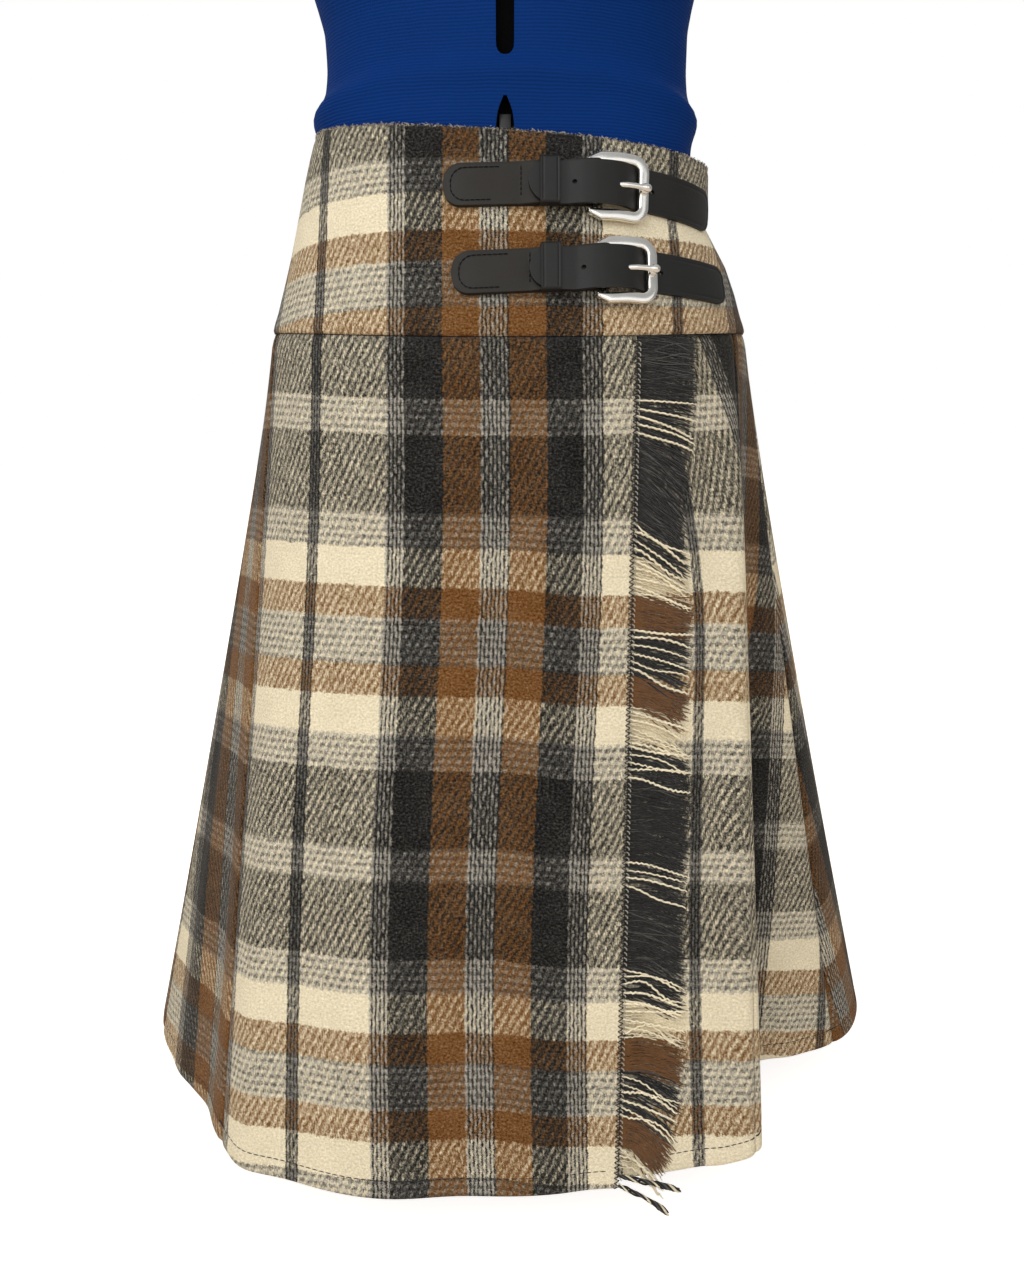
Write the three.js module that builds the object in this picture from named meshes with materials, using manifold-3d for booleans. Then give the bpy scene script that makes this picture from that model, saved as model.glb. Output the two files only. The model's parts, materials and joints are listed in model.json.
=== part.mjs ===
// A checked wool skirt with a hip yoke, a fringed wrap-over front and two leather buckle fastenings,
// standing on a limbless dress form. Millimetres, +Z up, the skirt's front faces -Y, the floor is Z = 0.
import * as THREE from 'three';
import { mergeVertices } from 'three/addons/utils/BufferGeometryUtils.js';
import Module from 'manifold-3d';

const wasm = await Module();
wasm.setup();

// ---------------------------------------------------------------- driving dimensions

const GAP = 0.3;               // between pieces that meet
const CLOTH = 2.4;             // wall of the wool cloth
const HEM_WALL = 4.2;          // wall where the hem is turned up
const HEM_DEPTH = 12;          // height of the turned-up hem
const HEM_HEIGHT = 35;         // hem above the floor
const SEAM_HEIGHT = 523;       // yoke seam above the floor, at the front
const TOP_HEIGHT = 640;        // top edge above the floor, at the front
const SIDE_RISE = 6;           // the yoke seam is this much higher at the sides
const TOP_TILT = 9.5;          // the top edge sits higher on the left and lower on the right

// The yoke's outside, from the panels up: half widths to the left and right, reach to the front and back.
const YOKE_SECTIONS = [
  { name: 'seam', height: SEAM_HEIGHT, left: 155.5, right: 161.5, front: 125, back: 116, square: 2.15 },
  { name: 'low', height: 552, left: 146.5, right: 153.5, front: 116.5, back: 110, square: 2.2 },
  { name: 'hip', height: 571, left: 141, right: 147, front: 110.5, back: 106, square: 2.2 },
  { name: 'pinch', height: 599, left: 134, right: 132.5, front: 102.5, back: 100, square: 2.25 },
  { name: 'rib', height: 615, left: 130, right: 134, front: 97.5, back: 97, square: 2.3 },
  { name: 'top', height: TOP_HEIGHT, left: 123, right: 133, front: 90, back: 92, square: 2.35 },
];

// The hem's outside in plan, from the left front seam round the front, the right side and the back.
const HEM_FOLDS = [
  { name: 'left seam', x: -178, y: -184 },
  { name: 'left front corner', x: -161, y: -203 },
  { name: 'front, left', x: -146, y: -211.5 },
  { name: 'front, left', x: -120, y: -221 },
  { name: 'front, left', x: -72, y: -230.5 },
  { name: 'centre', x: -13, y: -230 },
  { name: 'front, right', x: 30, y: -227 },
  { name: 'fringed edge', x: 69, y: -223 },
  { name: 'front, right', x: 112, y: -215 },
  { name: 'right front corner', x: 137, y: -206 },
  { name: 'right ridge', x: 155, y: -189 },
  { name: 'ridge side', x: 158, y: -168 },
  { name: 'ridge side', x: 160, y: -146 },
  { name: 'ridge side', x: 163, y: -126 },
  { name: 'right valley', x: 171, y: -110 },
  { name: 'right flare', x: 184, y: -101.5 },
  { name: 'right flare', x: 206, y: -95 },
  { name: 'right side seam', x: 228, y: -88 },
  { name: 'right flare', x: 250, y: -72 },
  { name: 'right flare', x: 267, y: -42 },
  { name: 'right side', x: 275, y: 0 },
  { name: 'right side ridge', x: 266, y: 42 },
  { name: 'back right valley', x: 238, y: 82 },
  { name: 'back right', x: 222, y: 122 },
  { name: 'back right ridge', x: 190, y: 160 },
  { name: 'back valley', x: 142, y: 158 },
  { name: 'back ridge', x: 95, y: 183 },
  { name: 'back valley', x: 45, y: 170 },
  { name: 'centre back ridge', x: -2, y: 187 },
  { name: 'back valley', x: -48, y: 170 },
  { name: 'back ridge', x: -92, y: 188 },
  { name: 'back valley', x: -135, y: 163 },
  { name: 'back left ridge', x: -182, y: 165 },
  { name: 'back left', x: -216, y: 124 },
  { name: 'back left valley', x: -234, y: 82 },
  { name: 'left side ridge', x: -257, y: 42 },
  { name: 'left side', x: -264, y: -2 },
  { name: 'left side', x: -260, y: -38 },
  { name: 'left flare', x: -247, y: -78 },
  { name: 'left flare', x: -225, y: -112 },
  { name: 'left flare', x: -202, y: -145 },
];

// Widths along the cloth, measured from the pattern's centre line to the two front seams.
const CENTRE_AT_SEAM = -5.4;   // where the pattern's centre line meets the yoke seam, from the centre front
const FRONT_LEFT = 178;
const FRONT_RIGHT = 174;
const SIDE_AT_SEAM = 45;       // width of a side panel at the yoke seam
const SIDE_AT_HEM = { left: 141, right: 158 };   // and at the hem
const APRON_EDGE = 85.5;       // fringed edge right of the centre line, at the yoke seam
const APRON_LEAN = -5;         // how far that edge comes back by the hem
const UNDERLAP_START = -30;    // the underlap's hidden edge
const UNDERLAP_SINK = 3.1;     // the underlap lies this far behind the apron's face at the yoke seam
const UNDERLAP_FALL = 4.6;     // and this much further at the hem
const FRINGE_REACH = 47;
const FRINGE_TAPER = 16;       // the fringe is this much narrower at the hem, where its yarns droop
const FRINGE_TAIL = 24;        // the lowest yarns hang this far below the hem
const FRINGE_WALL = 2.2;

// Faces along each panel and down it.
const HEM_FOLD = 1 - HEM_DEPTH / 500;
const PANEL_ROWS = [0, 0.11, 0.23, 0.35, 0.48, 0.61, 0.74, 0.86, HEM_FOLD - 0.004, HEM_FOLD, 1];
const COLUMNS = {
  apron: 24, underlap: 18, sideLeft: 11, sideRight: 16, back: 27, yokeFront: 32, yokeBack: 28,
};

// The dress form's outside, from its base up.
const FORM_SECTIONS = [
  { height: 415, left: 128, right: 128, front: 90, back: 84, square: 2.2 },
  { height: 420, left: 140, right: 140, front: 103, back: 96, square: 2.2 },
  { height: 436, left: 149, right: 150, front: 114, back: 106, square: 2.2 },
  { height: 470, left: 152, right: 153, front: 119.5, back: 110.5, square: 2.15 },
  { height: 500, left: 152, right: 153, front: 119.6, back: 112.4, square: 2.15 },
  { height: 523, left: 151.2, right: 152, front: 118.4, back: 112, square: 2.15 },
  { height: 552, left: 142.6, right: 145, front: 113.2, back: 106.8, square: 2.2 },
  { height: 571, left: 137.2, right: 138, front: 107.2, back: 102.8, square: 2.2 },
  { height: 599, left: 130.4, right: 127.4, front: 99, back: 96.6, square: 2.25 },
  { height: 615, left: 126.4, right: 125.5, front: 94.2, back: 93.8, square: 2.3 },
  { height: 640, left: 119.6, right: 121.4, front: 86.6, back: 88, square: 2.3 },
  { height: 656, left: 120.4, right: 121.8, front: 85.6, back: 86, square: 2.25 },
  { height: 667, left: 119, right: 120.6, front: 84.6, back: 84, square: 2.2 },
  { height: 678, left: 115.2, right: 118, front: 83, back: 81.5, square: 2.15 },
  { height: 692, left: 113.8, right: 117, front: 82.6, back: 80, square: 2.15 },
  { height: 710, left: 114.4, right: 117, front: 83.5, back: 80, square: 2.15 },
  { height: 724, left: 117.6, right: 118.8, front: 85.5, back: 81, square: 2.15 },
  { height: 740, left: 122, right: 122, front: 89, back: 83, square: 2.15 },
  { height: 790, left: 128, right: 128, front: 99, back: 88, square: 2.15 },
  { height: 840, left: 138, right: 138, front: 115, back: 95, square: 2.15 },
  { height: 880, left: 144, right: 144, front: 126, back: 100, square: 2.2 },
  { height: 915, left: 147, right: 147, front: 126, back: 104, square: 2.25 },
  { height: 950, left: 148, right: 148, front: 117, back: 107, square: 2.3 },
  { height: 985, left: 151, right: 151, front: 105, back: 107, square: 2.4 },
  { height: 1015, left: 154, right: 154, front: 91, back: 102, square: 2.5 },
  { height: 1036, left: 149, right: 149, front: 78, back: 93, square: 2.4 },
  { height: 1052, left: 127, right: 127, front: 69, back: 82, square: 2.25 },
  { height: 1066, left: 98, right: 98, front: 61, back: 71, square: 2.15 },
  { height: 1079, left: 71, right: 71, front: 54.5, back: 60, square: 2.1 },
  { height: 1092, left: 57, right: 57, front: 51, back: 53.5, square: 2.05 },
  { height: 1112, left: 53, right: 53, front: 50, back: 51, square: 2 },
  { height: 1135, left: 52, right: 52, front: 50, back: 50, square: 2 },
];
const FORM_COLUMNS = 40;
const FORM_BOTTOM = 415;
const FORM_TOP = 1135;
// The expanding gap down the form's centre front, bridged at the waist by its cover.
const SLOT = { width: 10.5, depth: 9, taper: 14, middle: 1 };
const SLOTS = [{ from: 436, to: 659 }, { from: 681, to: 1000 }];
const ADJUSTER = { width: 7, thick: 4, from: 622, to: 650 };    // the bracket in the gap, seen at the waist

const NECK_CAP = { radius: 50, thick: 7, knob: 17, knobHeight: 22 };
const POLE_RADIUS = 12.5;
const BASE = { radius: 150, thick: 6, hubRadius: 24, hubHeight: 34, boreFloor: 6 };

// A buckle fastening, measured along the yoke from the centre front (along), across the strap (up) and
// out of the cloth (out).
const STRAP_WIDTH = 25;
const BILLET_THICK = 2;
const TAB_LAYER = 1.6;
const ON_CLOTH = 0.4;          // leather above the cloth's face
const BAR = { along: 52, out: 4.7, half: 2 };
const FOLD = { inner: 2.7, outer: 4.3 };
const TAB = { from: -34.5, stitch: 10, cornerRadius: 9 };
const KEEPER = { from: 20.5, to: 31.5, wall: 1.2, side: 1.3 };
const BUCKLE = { height: 40.5, right: 86, bar: 5, half: 2.1, corner: 9, bevel: 0.8, drop: 1.2, raise: 0.35 };
const STRAP_SLOPE = 0.955;     // height gained for each millimetre up the slanting yoke
const TONGUE = { radius: 1.7, eyeWidth: 3.6, clearance: 0.35 };
const BEND_STEP = 11;          // longest edge of a strap bent round the yoke
const HOLE_RADIUS = 1.5;
const HOLES = [39.5, 90];
const BILLET = { tip: 14, end: 148, tipRadius: 12, endRadius: 10 };

const FASTENINGS = [
  { name: 'upper', shift: 0, leftHeight: 607, buckleHeight: 609, endHeight: 601 },
  { name: 'lower', shift: 5, leftHeight: 557.5, buckleHeight: 561.5, endHeight: 555 },
];

// Height of the tab's upper layer (its top) and of the billet (its underside) above the cloth.
const TAB_TOP = [
  { along: 10, out: 3.6 }, { along: 18, out: 5.2 }, { along: 34, out: 5.2 }, { along: 44, out: 7.9 },
];
const BILLET_UNDER = [
  { along: 14, out: 5.5 }, { along: 25, out: 5.5 }, { along: 36, out: 5.9 }, { along: 45, out: 8.4 },
  { along: 51, out: 9.3 }, { along: 56, out: 9.2 }, { along: 64, out: 6.5 }, { along: 72, out: 2.9 },
  { along: 79, out: 0.5 }, { along: 86, out: ON_CLOTH },
];

const COLOURS = {
  plaid: { color: 0x8f8476, roughness: 0.95, metalness: 0 },
  fringe: { color: 0x3b3a3a, roughness: 0.95, metalness: 0 },
  leather: { color: 0x23221f, roughness: 0.55, metalness: 0 },
  nickel: { color: 0xd8d4cc, roughness: 0.2, metalness: 1 },
  cover: { color: 0x1a3f96, roughness: 0.85, metalness: 0 },
  plastic: { color: 0x1b1b1d, roughness: 0.5, metalness: 0 },
  steel: { color: 0x2a2b2d, roughness: 0.45, metalness: 0.6 },
};

// ---------------------------------------------------------------- closed outlines

const OUTLINE_STEPS = 480;

class Outline {
  // A closed line of points; distances along it are measured in plan, from points[zero].
  constructor(points, zero) {
    this.points = points;
    this.lengths = [0];
    for (let i = 1; i <= points.length; i += 1) {
      const a = points[i - 1];
      const b = points[i % points.length];
      this.lengths.push(this.lengths[i - 1] + Math.hypot(b.x - a.x, b.y - a.y));
    }
    this.girth = this.lengths[points.length];
    this.zero = this.lengths[zero];
  }

  distanceTo(index) {
    return this.lengths[index] - this.zero;
  }

  at(distance) {
    const wanted = THREE.MathUtils.euclideanModulo(distance + this.zero, this.girth);
    let low = 0;
    let high = this.points.length;
    while (high - low > 1) {
      const middle = (low + high) >> 1;
      if (this.lengths[middle] <= wanted) low = middle;
      else high = middle;
    }
    const share = (wanted - this.lengths[low]) / (this.lengths[high] - this.lengths[low]);
    return this.points[low].clone().lerp(this.points[high % this.points.length], share);
  }
}

function sectionOutline(section, rise = () => 0) {
  // Runs from the centre back past the left side, the centre front and the right side.
  const points = [];
  for (let i = 0; i < OUTLINE_STEPS; i += 1) {
    const angle = -Math.PI + (2 * Math.PI * i) / OUTLINE_STEPS;
    const across = Math.sin(angle);
    const ahead = Math.cos(angle);
    const halfWidth = across < 0 ? section.left : section.right;
    const reach = ahead < 0 ? section.back : section.front;
    points.push(new THREE.Vector3(
      halfWidth * Math.sign(across) * Math.abs(across) ** (2 / section.square),
      -reach * Math.sign(ahead) * Math.abs(ahead) ** (2 / section.square),
      section.height + rise(across),
    ));
  }
  return new Outline(points, OUTLINE_STEPS / 2);
}

function sectionAt(sections, height) {
  // The section at a height, in straight steps between the named ones.
  const last = sections.length - 2;
  let i = 0;
  while (i < last && sections[i + 1].height < height) i += 1;
  const low = sections[i];
  const high = sections[i + 1];
  const share = (height - low.height) / (high.height - low.height);
  const mixed = { height };
  for (const key of ['left', 'right', 'front', 'back', 'square']) {
    mixed[key] = THREE.MathUtils.lerp(low[key], high[key], share);
  }
  return mixed;
}

function yokeOutline(height) {
  const share = (height - SEAM_HEIGHT) / (TOP_HEIGHT - SEAM_HEIGHT);
  const rise = (across) => SIDE_RISE * across * across * (1 - share) - TOP_TILT * across * share;
  return sectionOutline(sectionAt(YOKE_SECTIONS, height), rise);
}

const seamOutline = yokeOutline(SEAM_HEIGHT);

const STEPS_PER_FOLD = 14;
const hemCurve = new THREE.CatmullRomCurve3(
  HEM_FOLDS.map((fold) => new THREE.Vector3(fold.x, fold.y, HEM_HEIGHT)), true, 'centripetal');
const hemOutline = new Outline(
  hemCurve.getPoints(HEM_FOLDS.length * STEPS_PER_FOLD).slice(0, -1),
  HEM_FOLDS.findIndex((fold) => fold.name === 'centre') * STEPS_PER_FOLD);

// ---------------------------------------------------------------- the panels' surface

// Seams of the lower panels: distance along the hem and along the yoke seam, both from the centre line.
const PANEL_SEAMS = [
  { hem: -FRONT_LEFT - SIDE_AT_HEM.left, top: -FRONT_LEFT - SIDE_AT_SEAM },
  { hem: -FRONT_LEFT, top: -FRONT_LEFT },
  { hem: FRONT_RIGHT, top: FRONT_RIGHT },
  { hem: FRONT_RIGHT + SIDE_AT_HEM.right, top: FRONT_RIGHT + SIDE_AT_SEAM },
  {
    hem: hemOutline.girth - FRONT_LEFT - SIDE_AT_HEM.left,
    top: seamOutline.girth - FRONT_LEFT - SIDE_AT_SEAM,
  },
];

function topDistance(along) {
  let i = 0;
  while (i < PANEL_SEAMS.length - 2 && PANEL_SEAMS[i + 1].hem < along) i += 1;
  const a = PANEL_SEAMS[i];
  const b = PANEL_SEAMS[i + 1];
  return CENTRE_AT_SEAM + THREE.MathUtils.mapLinear(along, a.hem, b.hem, a.top, b.top);
}

// A point on the panels' face: along the hem from the centre line, and down from the yoke seam (0)
// to the hem (1).
function panelPoint(along, down) {
  const top = seamOutline.at(topDistance(along));
  return top.lerp(hemOutline.at(along), down);
}

const NORMAL_STEP = 4;

function outwards(before, after) {
  return new THREE.Vector3(after.y - before.y, before.x - after.x, 0).normalize();
}

function panelOut(along, down) {
  return outwards(panelPoint(along - NORMAL_STEP, down), panelPoint(along + NORMAL_STEP, down));
}

// ---------------------------------------------------------------- meshes

function signedVolume(geometry) {
  const p = geometry.getAttribute('position');
  const index = geometry.getIndex();
  const [a, b, c] = [new THREE.Vector3(), new THREE.Vector3(), new THREE.Vector3()];
  let sum = 0;
  for (let i = 0; i < index.count; i += 3) {
    a.fromBufferAttribute(p, index.getX(i));
    b.fromBufferAttribute(p, index.getX(i + 1));
    c.fromBufferAttribute(p, index.getX(i + 2));
    sum += a.dot(b.cross(c)) / 6;
  }
  return sum;
}

function facingOut(geometry) {
  if (signedVolume(geometry) > 0) return geometry;
  const index = geometry.getIndex();
  for (let i = 0; i < index.count; i += 3) {
    const second = index.getX(i + 1);
    index.setX(i + 1, index.getX(i + 2));
    index.setX(i + 2, second);
  }
  return geometry;
}

function closed(geometry) {
  geometry.deleteAttribute('normal');
  geometry.deleteAttribute('uv');
  return facingOut(mergeVertices(geometry, 1e-4));
}

function fromLists(points, triangles) {
  const geometry = new THREE.BufferGeometry();
  geometry.setAttribute('position', new THREE.Float32BufferAttribute(points.flatMap((p) => p.toArray()), 3));
  geometry.setIndex(triangles);
  return facingOut(geometry);
}

// A wall between two equal grids of points, closed along its four edges.
function wall(face, inside) {
  const rows = face.length;
  const columns = face[0].length;
  const points = [...face.flat(), ...inside.flat()];
  const at = (side, row, column) => side * rows * columns + row * columns + column;
  const triangles = [];
  const quad = (a, b, c, d) => triangles.push(a, b, c, a, c, d);
  for (let i = 0; i < rows - 1; i += 1) {
    for (let j = 0; j < columns - 1; j += 1) {
      quad(at(0, i, j), at(0, i, j + 1), at(0, i + 1, j + 1), at(0, i + 1, j));
      quad(at(1, i, j), at(1, i + 1, j), at(1, i + 1, j + 1), at(1, i, j + 1));
    }
    const end = columns - 1;
    quad(at(0, i, 0), at(0, i + 1, 0), at(1, i + 1, 0), at(1, i, 0));
    quad(at(0, i, end), at(1, i, end), at(1, i + 1, end), at(0, i + 1, end));
  }
  for (let j = 0; j < columns - 1; j += 1) {
    const end = rows - 1;
    quad(at(0, 0, j), at(1, 0, j), at(1, 0, j + 1), at(0, 0, j + 1));
    quad(at(0, end, j), at(0, end, j + 1), at(1, end, j + 1), at(1, end, j));
  }
  return fromLists(points, triangles);
}

// A solid through a stack of equal rings, closed by a fan at each end.
function loft(rings) {
  const size = rings[0].length;
  const points = rings.flat();
  const triangles = [];
  for (let i = 0; i < rings.length - 1; i += 1) {
    for (let j = 0; j < size; j += 1) {
      const next = (j + 1) % size;
      const [a, b, c, d] = [i * size + j, i * size + next, (i + 1) * size + next, (i + 1) * size + j];
      triangles.push(a, b, c, a, c, d);
    }
  }
  const top = (rings.length - 1) * size;
  const middle = (ring) => ring.reduce((sum, p) => sum.add(p), new THREE.Vector3()).divideScalar(size);
  points.push(middle(rings[0]), middle(rings[rings.length - 1]));
  for (let j = 0; j < size; j += 1) {
    const next = (j + 1) % size;
    triangles.push(points.length - 2, next, j, points.length - 1, top + j, top + next);
  }
  return fromLists(points, triangles);
}

function solid(geometry) {
  return new wasm.Manifold(new wasm.Mesh({
    numProp: 3,
    vertProperties: new Float32Array(geometry.getAttribute('position').array),
    triVerts: new Uint32Array(geometry.getIndex().array),
  }));
}

function geometryOf(manifold) {
  const mesh = manifold.getMesh();
  const geometry = new THREE.BufferGeometry();
  geometry.setAttribute('position', new THREE.BufferAttribute(new Float32Array(mesh.vertProperties), 3));
  geometry.setIndex(new THREE.BufferAttribute(new Uint32Array(mesh.triVerts), 1));
  return geometry;
}

// Moves every point of a closed mesh.
function moved(geometry, move) {
  const p = geometry.getAttribute('position');
  const point = new THREE.Vector3();
  for (let i = 0; i < p.count; i += 1) {
    move(point.fromBufferAttribute(p, i));
    p.setXYZ(i, point.x, point.y, point.z);
  }
  return facingOut(geometry);
}

// ---------------------------------------------------------------- the object

const object = new THREE.Group();

function add(name, geometry, finish) {
  const mesh = new THREE.Mesh(geometry, new THREE.MeshStandardMaterial(COLOURS[finish]));
  mesh.name = name;
  object.add(mesh);
}

// ---------------------------------------------------------------- lower panels

function panelWall(from, to, columns, sink = () => 0) {
  const face = [];
  const inside = [];
  for (const down of PANEL_ROWS) {
    const thick = down >= HEM_FOLD ? HEM_WALL : CLOTH;
    const [start, end] = [from(down) + GAP / 2, to(down) - GAP / 2];
    const faceRow = [];
    const insideRow = [];
    for (let j = 0; j <= columns; j += 1) {
      const along = THREE.MathUtils.lerp(start, end, j / columns);
      const out = panelOut(along, down);
      const point = panelPoint(along, down);
      const depth = sink(along, down);
      faceRow.push(point.clone().addScaledVector(out, -depth));
      insideRow.push(point.clone().addScaledVector(out, -depth - thick));
    }
    face.push(faceRow);
    inside.push(insideRow);
  }
  return wall(face, inside);
}

const apronEdge = (down) => APRON_EDGE + APRON_LEAN * down;

function underlapSink(along, down) {
  const clearOfFringe = APRON_EDGE + FRINGE_REACH + 3;
  const easing = 1 - THREE.MathUtils.smoothstep(along, clearOfFringe, FRONT_RIGHT - 2);
  return (UNDERLAP_SINK + UNDERLAP_FALL * down) * easing;
}

const always = (value) => () => value;

function addPanels() {
  const backFrom = FRONT_RIGHT + SIDE_AT_HEM.right;
  const backTo = hemOutline.girth - FRONT_LEFT - SIDE_AT_HEM.left;
  const backSeam = (backFrom + backTo) / 2;
  add('apron', panelWall(always(-FRONT_LEFT), apronEdge, COLUMNS.apron), 'plaid');
  add('underlap',
    panelWall(always(UNDERLAP_START), always(FRONT_RIGHT), COLUMNS.underlap, underlapSink), 'plaid');
  add('side_left',
    panelWall(always(-FRONT_LEFT - SIDE_AT_HEM.left), always(-FRONT_LEFT), COLUMNS.sideLeft), 'plaid');
  add('side_right',
    panelWall(always(FRONT_RIGHT), always(backFrom), COLUMNS.sideRight), 'plaid');
  add('back_right', panelWall(always(backFrom), always(backSeam), COLUMNS.back), 'plaid');
  add('back_left', panelWall(always(backSeam), always(backTo), COLUMNS.back), 'plaid');
}

function addFringe() {
  const rows = 12;
  const columns = 3;
  const panelLength = SEAM_HEIGHT - HEM_HEIGHT;
  const face = [];
  const inside = [];
  for (let i = 0; i <= rows; i += 1) {
    const down = i / rows;
    const droop = THREE.MathUtils.lerp(3, FRINGE_TAIL, down) / panelLength;
    const faceRow = [];
    const insideRow = [];
    for (let j = 0; j <= columns; j += 1) {
      const share = j / columns;
      const along = apronEdge(down) + GAP / 2 + (FRINGE_REACH - FRINGE_TAPER * down) * share;
      const level = down + droop * share ** 1.5;
      const out = panelOut(along, level);
      const point = panelPoint(along, level);
      faceRow.push(point.clone().addScaledVector(out, -0.2));
      insideRow.push(point.clone().addScaledVector(out, -0.2 - FRINGE_WALL));
    }
    face.push(faceRow);
    inside.push(insideRow);
  }
  add('fringe', wall(face, inside), 'fringe');
}

// ---------------------------------------------------------------- yoke

function yokeWall(front, columns) {
  const quarter = OUTLINE_STEPS / 4;
  const face = [];
  const inside = [];
  for (const section of YOKE_SECTIONS) {
    const outline = yokeOutline(section.height);
    const left = outline.distanceTo(quarter);
    const right = outline.distanceTo(3 * quarter);
    const [from, to] = front ? [left, right] : [right, left + outline.girth];
    const lift = section.name === 'seam' ? GAP : 0;
    const faceRow = [];
    const insideRow = [];
    for (let j = 0; j <= columns; j += 1) {
      const along = THREE.MathUtils.lerp(from + GAP / 2, to - GAP / 2, j / columns);
      const point = outline.at(along);
      const out = outwards(outline.at(along - NORMAL_STEP), outline.at(along + NORMAL_STEP));
      point.z += lift;
      faceRow.push(point);
      insideRow.push(point.clone().addScaledVector(out, -CLOTH));
    }
    face.push(faceRow);
    inside.push(insideRow);
  }
  return wall(face, inside);
}

// ---------------------------------------------------------------- buckle fastenings

function tableAt(table, along) {
  const last = table.length - 1;
  if (along <= table[0].along) return table[0].out;
  for (let i = 0; i < last; i += 1) {
    if (along <= table[i + 1].along) {
      const [a, b] = [table[i], table[i + 1]];
      return THREE.MathUtils.mapLinear(along, a.along, b.along, a.out, b.out);
    }
  }
  return table[last].out;
}

function steps(from, to, step) {
  const count = Math.max(1, Math.round(Math.abs(to - from) / step));
  return Array.from({ length: count + 1 }, (_, i) => from + ((to - from) * i) / count);
}

// An outline in the along-out plane, drawn out across the strap.
function acrossStrap(outline, width, holes = []) {
  const shape = new THREE.Shape(outline);
  shape.holes = holes.map((points) => new THREE.Path(points));
  const geometry = new THREE.ExtrudeGeometry(shape, { depth: width, steps: 1, bevelEnabled: false });
  geometry.translate(0, 0, -width / 2);
  return closed(geometry);
}

function roundedBox(left, right, height, leftRadius, rightRadius) {
  const half = height / 2;
  const shape = new THREE.Shape();
  shape.moveTo(left + leftRadius, -half);
  shape.lineTo(right - rightRadius, -half);
  shape.absarc(right - rightRadius, -half + rightRadius, rightRadius, -Math.PI / 2, 0);
  shape.absarc(right - rightRadius, half - rightRadius, rightRadius, 0, Math.PI / 2);
  shape.absarc(left + leftRadius, half - leftRadius, leftRadius, Math.PI / 2, Math.PI);
  shape.absarc(left + leftRadius, -half + leftRadius, leftRadius, Math.PI, 1.5 * Math.PI);
  return shape;
}

// A shape in the along-up plane, drawn out from the cloth; the mesh is held as (along, out, up).
function outOfCloth(shape, from, to, bevel = 0, curveSegments = 5) {
  const geometry = new THREE.ExtrudeGeometry(shape, {
    depth: to - from - 2 * bevel,
    steps: 1,
    curveSegments,
    bevelEnabled: bevel > 0,
    bevelThickness: bevel,
    bevelSize: bevel,
    bevelOffset: -bevel,
    bevelSegments: 1,
  });
  return moved(closed(geometry), (p) => p.set(p.x, p.z + from + bevel, p.y));
}

function arc(centre, radius, fromAngle, toAngle, count) {
  return Array.from({ length: count + 1 }, (_, i) => {
    const angle = fromAngle + ((toAngle - fromAngle) * i) / count;
    return new THREE.Vector2(centre.x + radius * Math.cos(angle), centre.y + radius * Math.sin(angle));
  });
}

function tabSolid(cut) {
  const point = (along, out) => new THREE.Vector2(along, out);
  const centre = point(BAR.along, BAR.out);
  const bottom = ON_CLOTH;
  const layers = bottom + 2 * TAB_LAYER;
  const quarter = Math.PI / 2;
  const outer = [
    ...steps(TAB.from, BAR.along, 6).slice(0, -1).map((along) => point(along, bottom)),
    ...arc(centre, FOLD.outer, -quarter, quarter, 8),
    ...[...TAB_TOP].reverse().map(({ along, out }) => point(along, out)),
    ...steps(TAB.stitch, TAB.from, 6).slice(1).map((along) => point(along, layers)),
  ];
  const slot = [
    ...steps(TAB.stitch + 1, BAR.along, 6).slice(0, -1).map((along) => point(along, bottom + TAB_LAYER)),
    ...arc(centre, FOLD.inner, -quarter, quarter, 8),
    ...[...TAB_TOP].reverse().slice(0, -1).map(({ along, out }) => point(along, out - TAB_LAYER)),
    point(TAB.stitch + 1, bottom + TAB_LAYER + 0.4),
  ];
  const raw = solid(acrossStrap(outer, STRAP_WIDTH, [slot]));
  const plan = roundedBox(TAB.from, BAR.along + 20, STRAP_WIDTH + 0.02, TAB.cornerRadius, 1);
  return raw.intersect(solid(outOfCloth(plan, -5, 20))).subtract(cut).refineToLength(BEND_STEP);
}

function billetSolid(cut) {
  const under = steps(BILLET.tip, BILLET.end, 5).map((along) => {
    return new THREE.Vector2(along, tableAt(BILLET_UNDER, along));
  });
  const over = [...under].reverse().map((p) => new THREE.Vector2(p.x, p.y + BILLET_THICK));
  const raw = solid(acrossStrap([...under, ...over], STRAP_WIDTH));
  const plan = roundedBox(BILLET.tip, BILLET.end, STRAP_WIDTH + 0.02, BILLET.tipRadius, BILLET.endRadius);
  let billet = raw.intersect(solid(outOfCloth(plan, -5, 20))).subtract(cut);
  for (const along of HOLES) {
    const hole = new THREE.CylinderGeometry(HOLE_RADIUS, HOLE_RADIUS, 24, 10).translate(along, 6, 0);
    billet = billet.subtract(solid(closed(hole)));
  }
  return billet.refineToLength(BEND_STEP);
}

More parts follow.
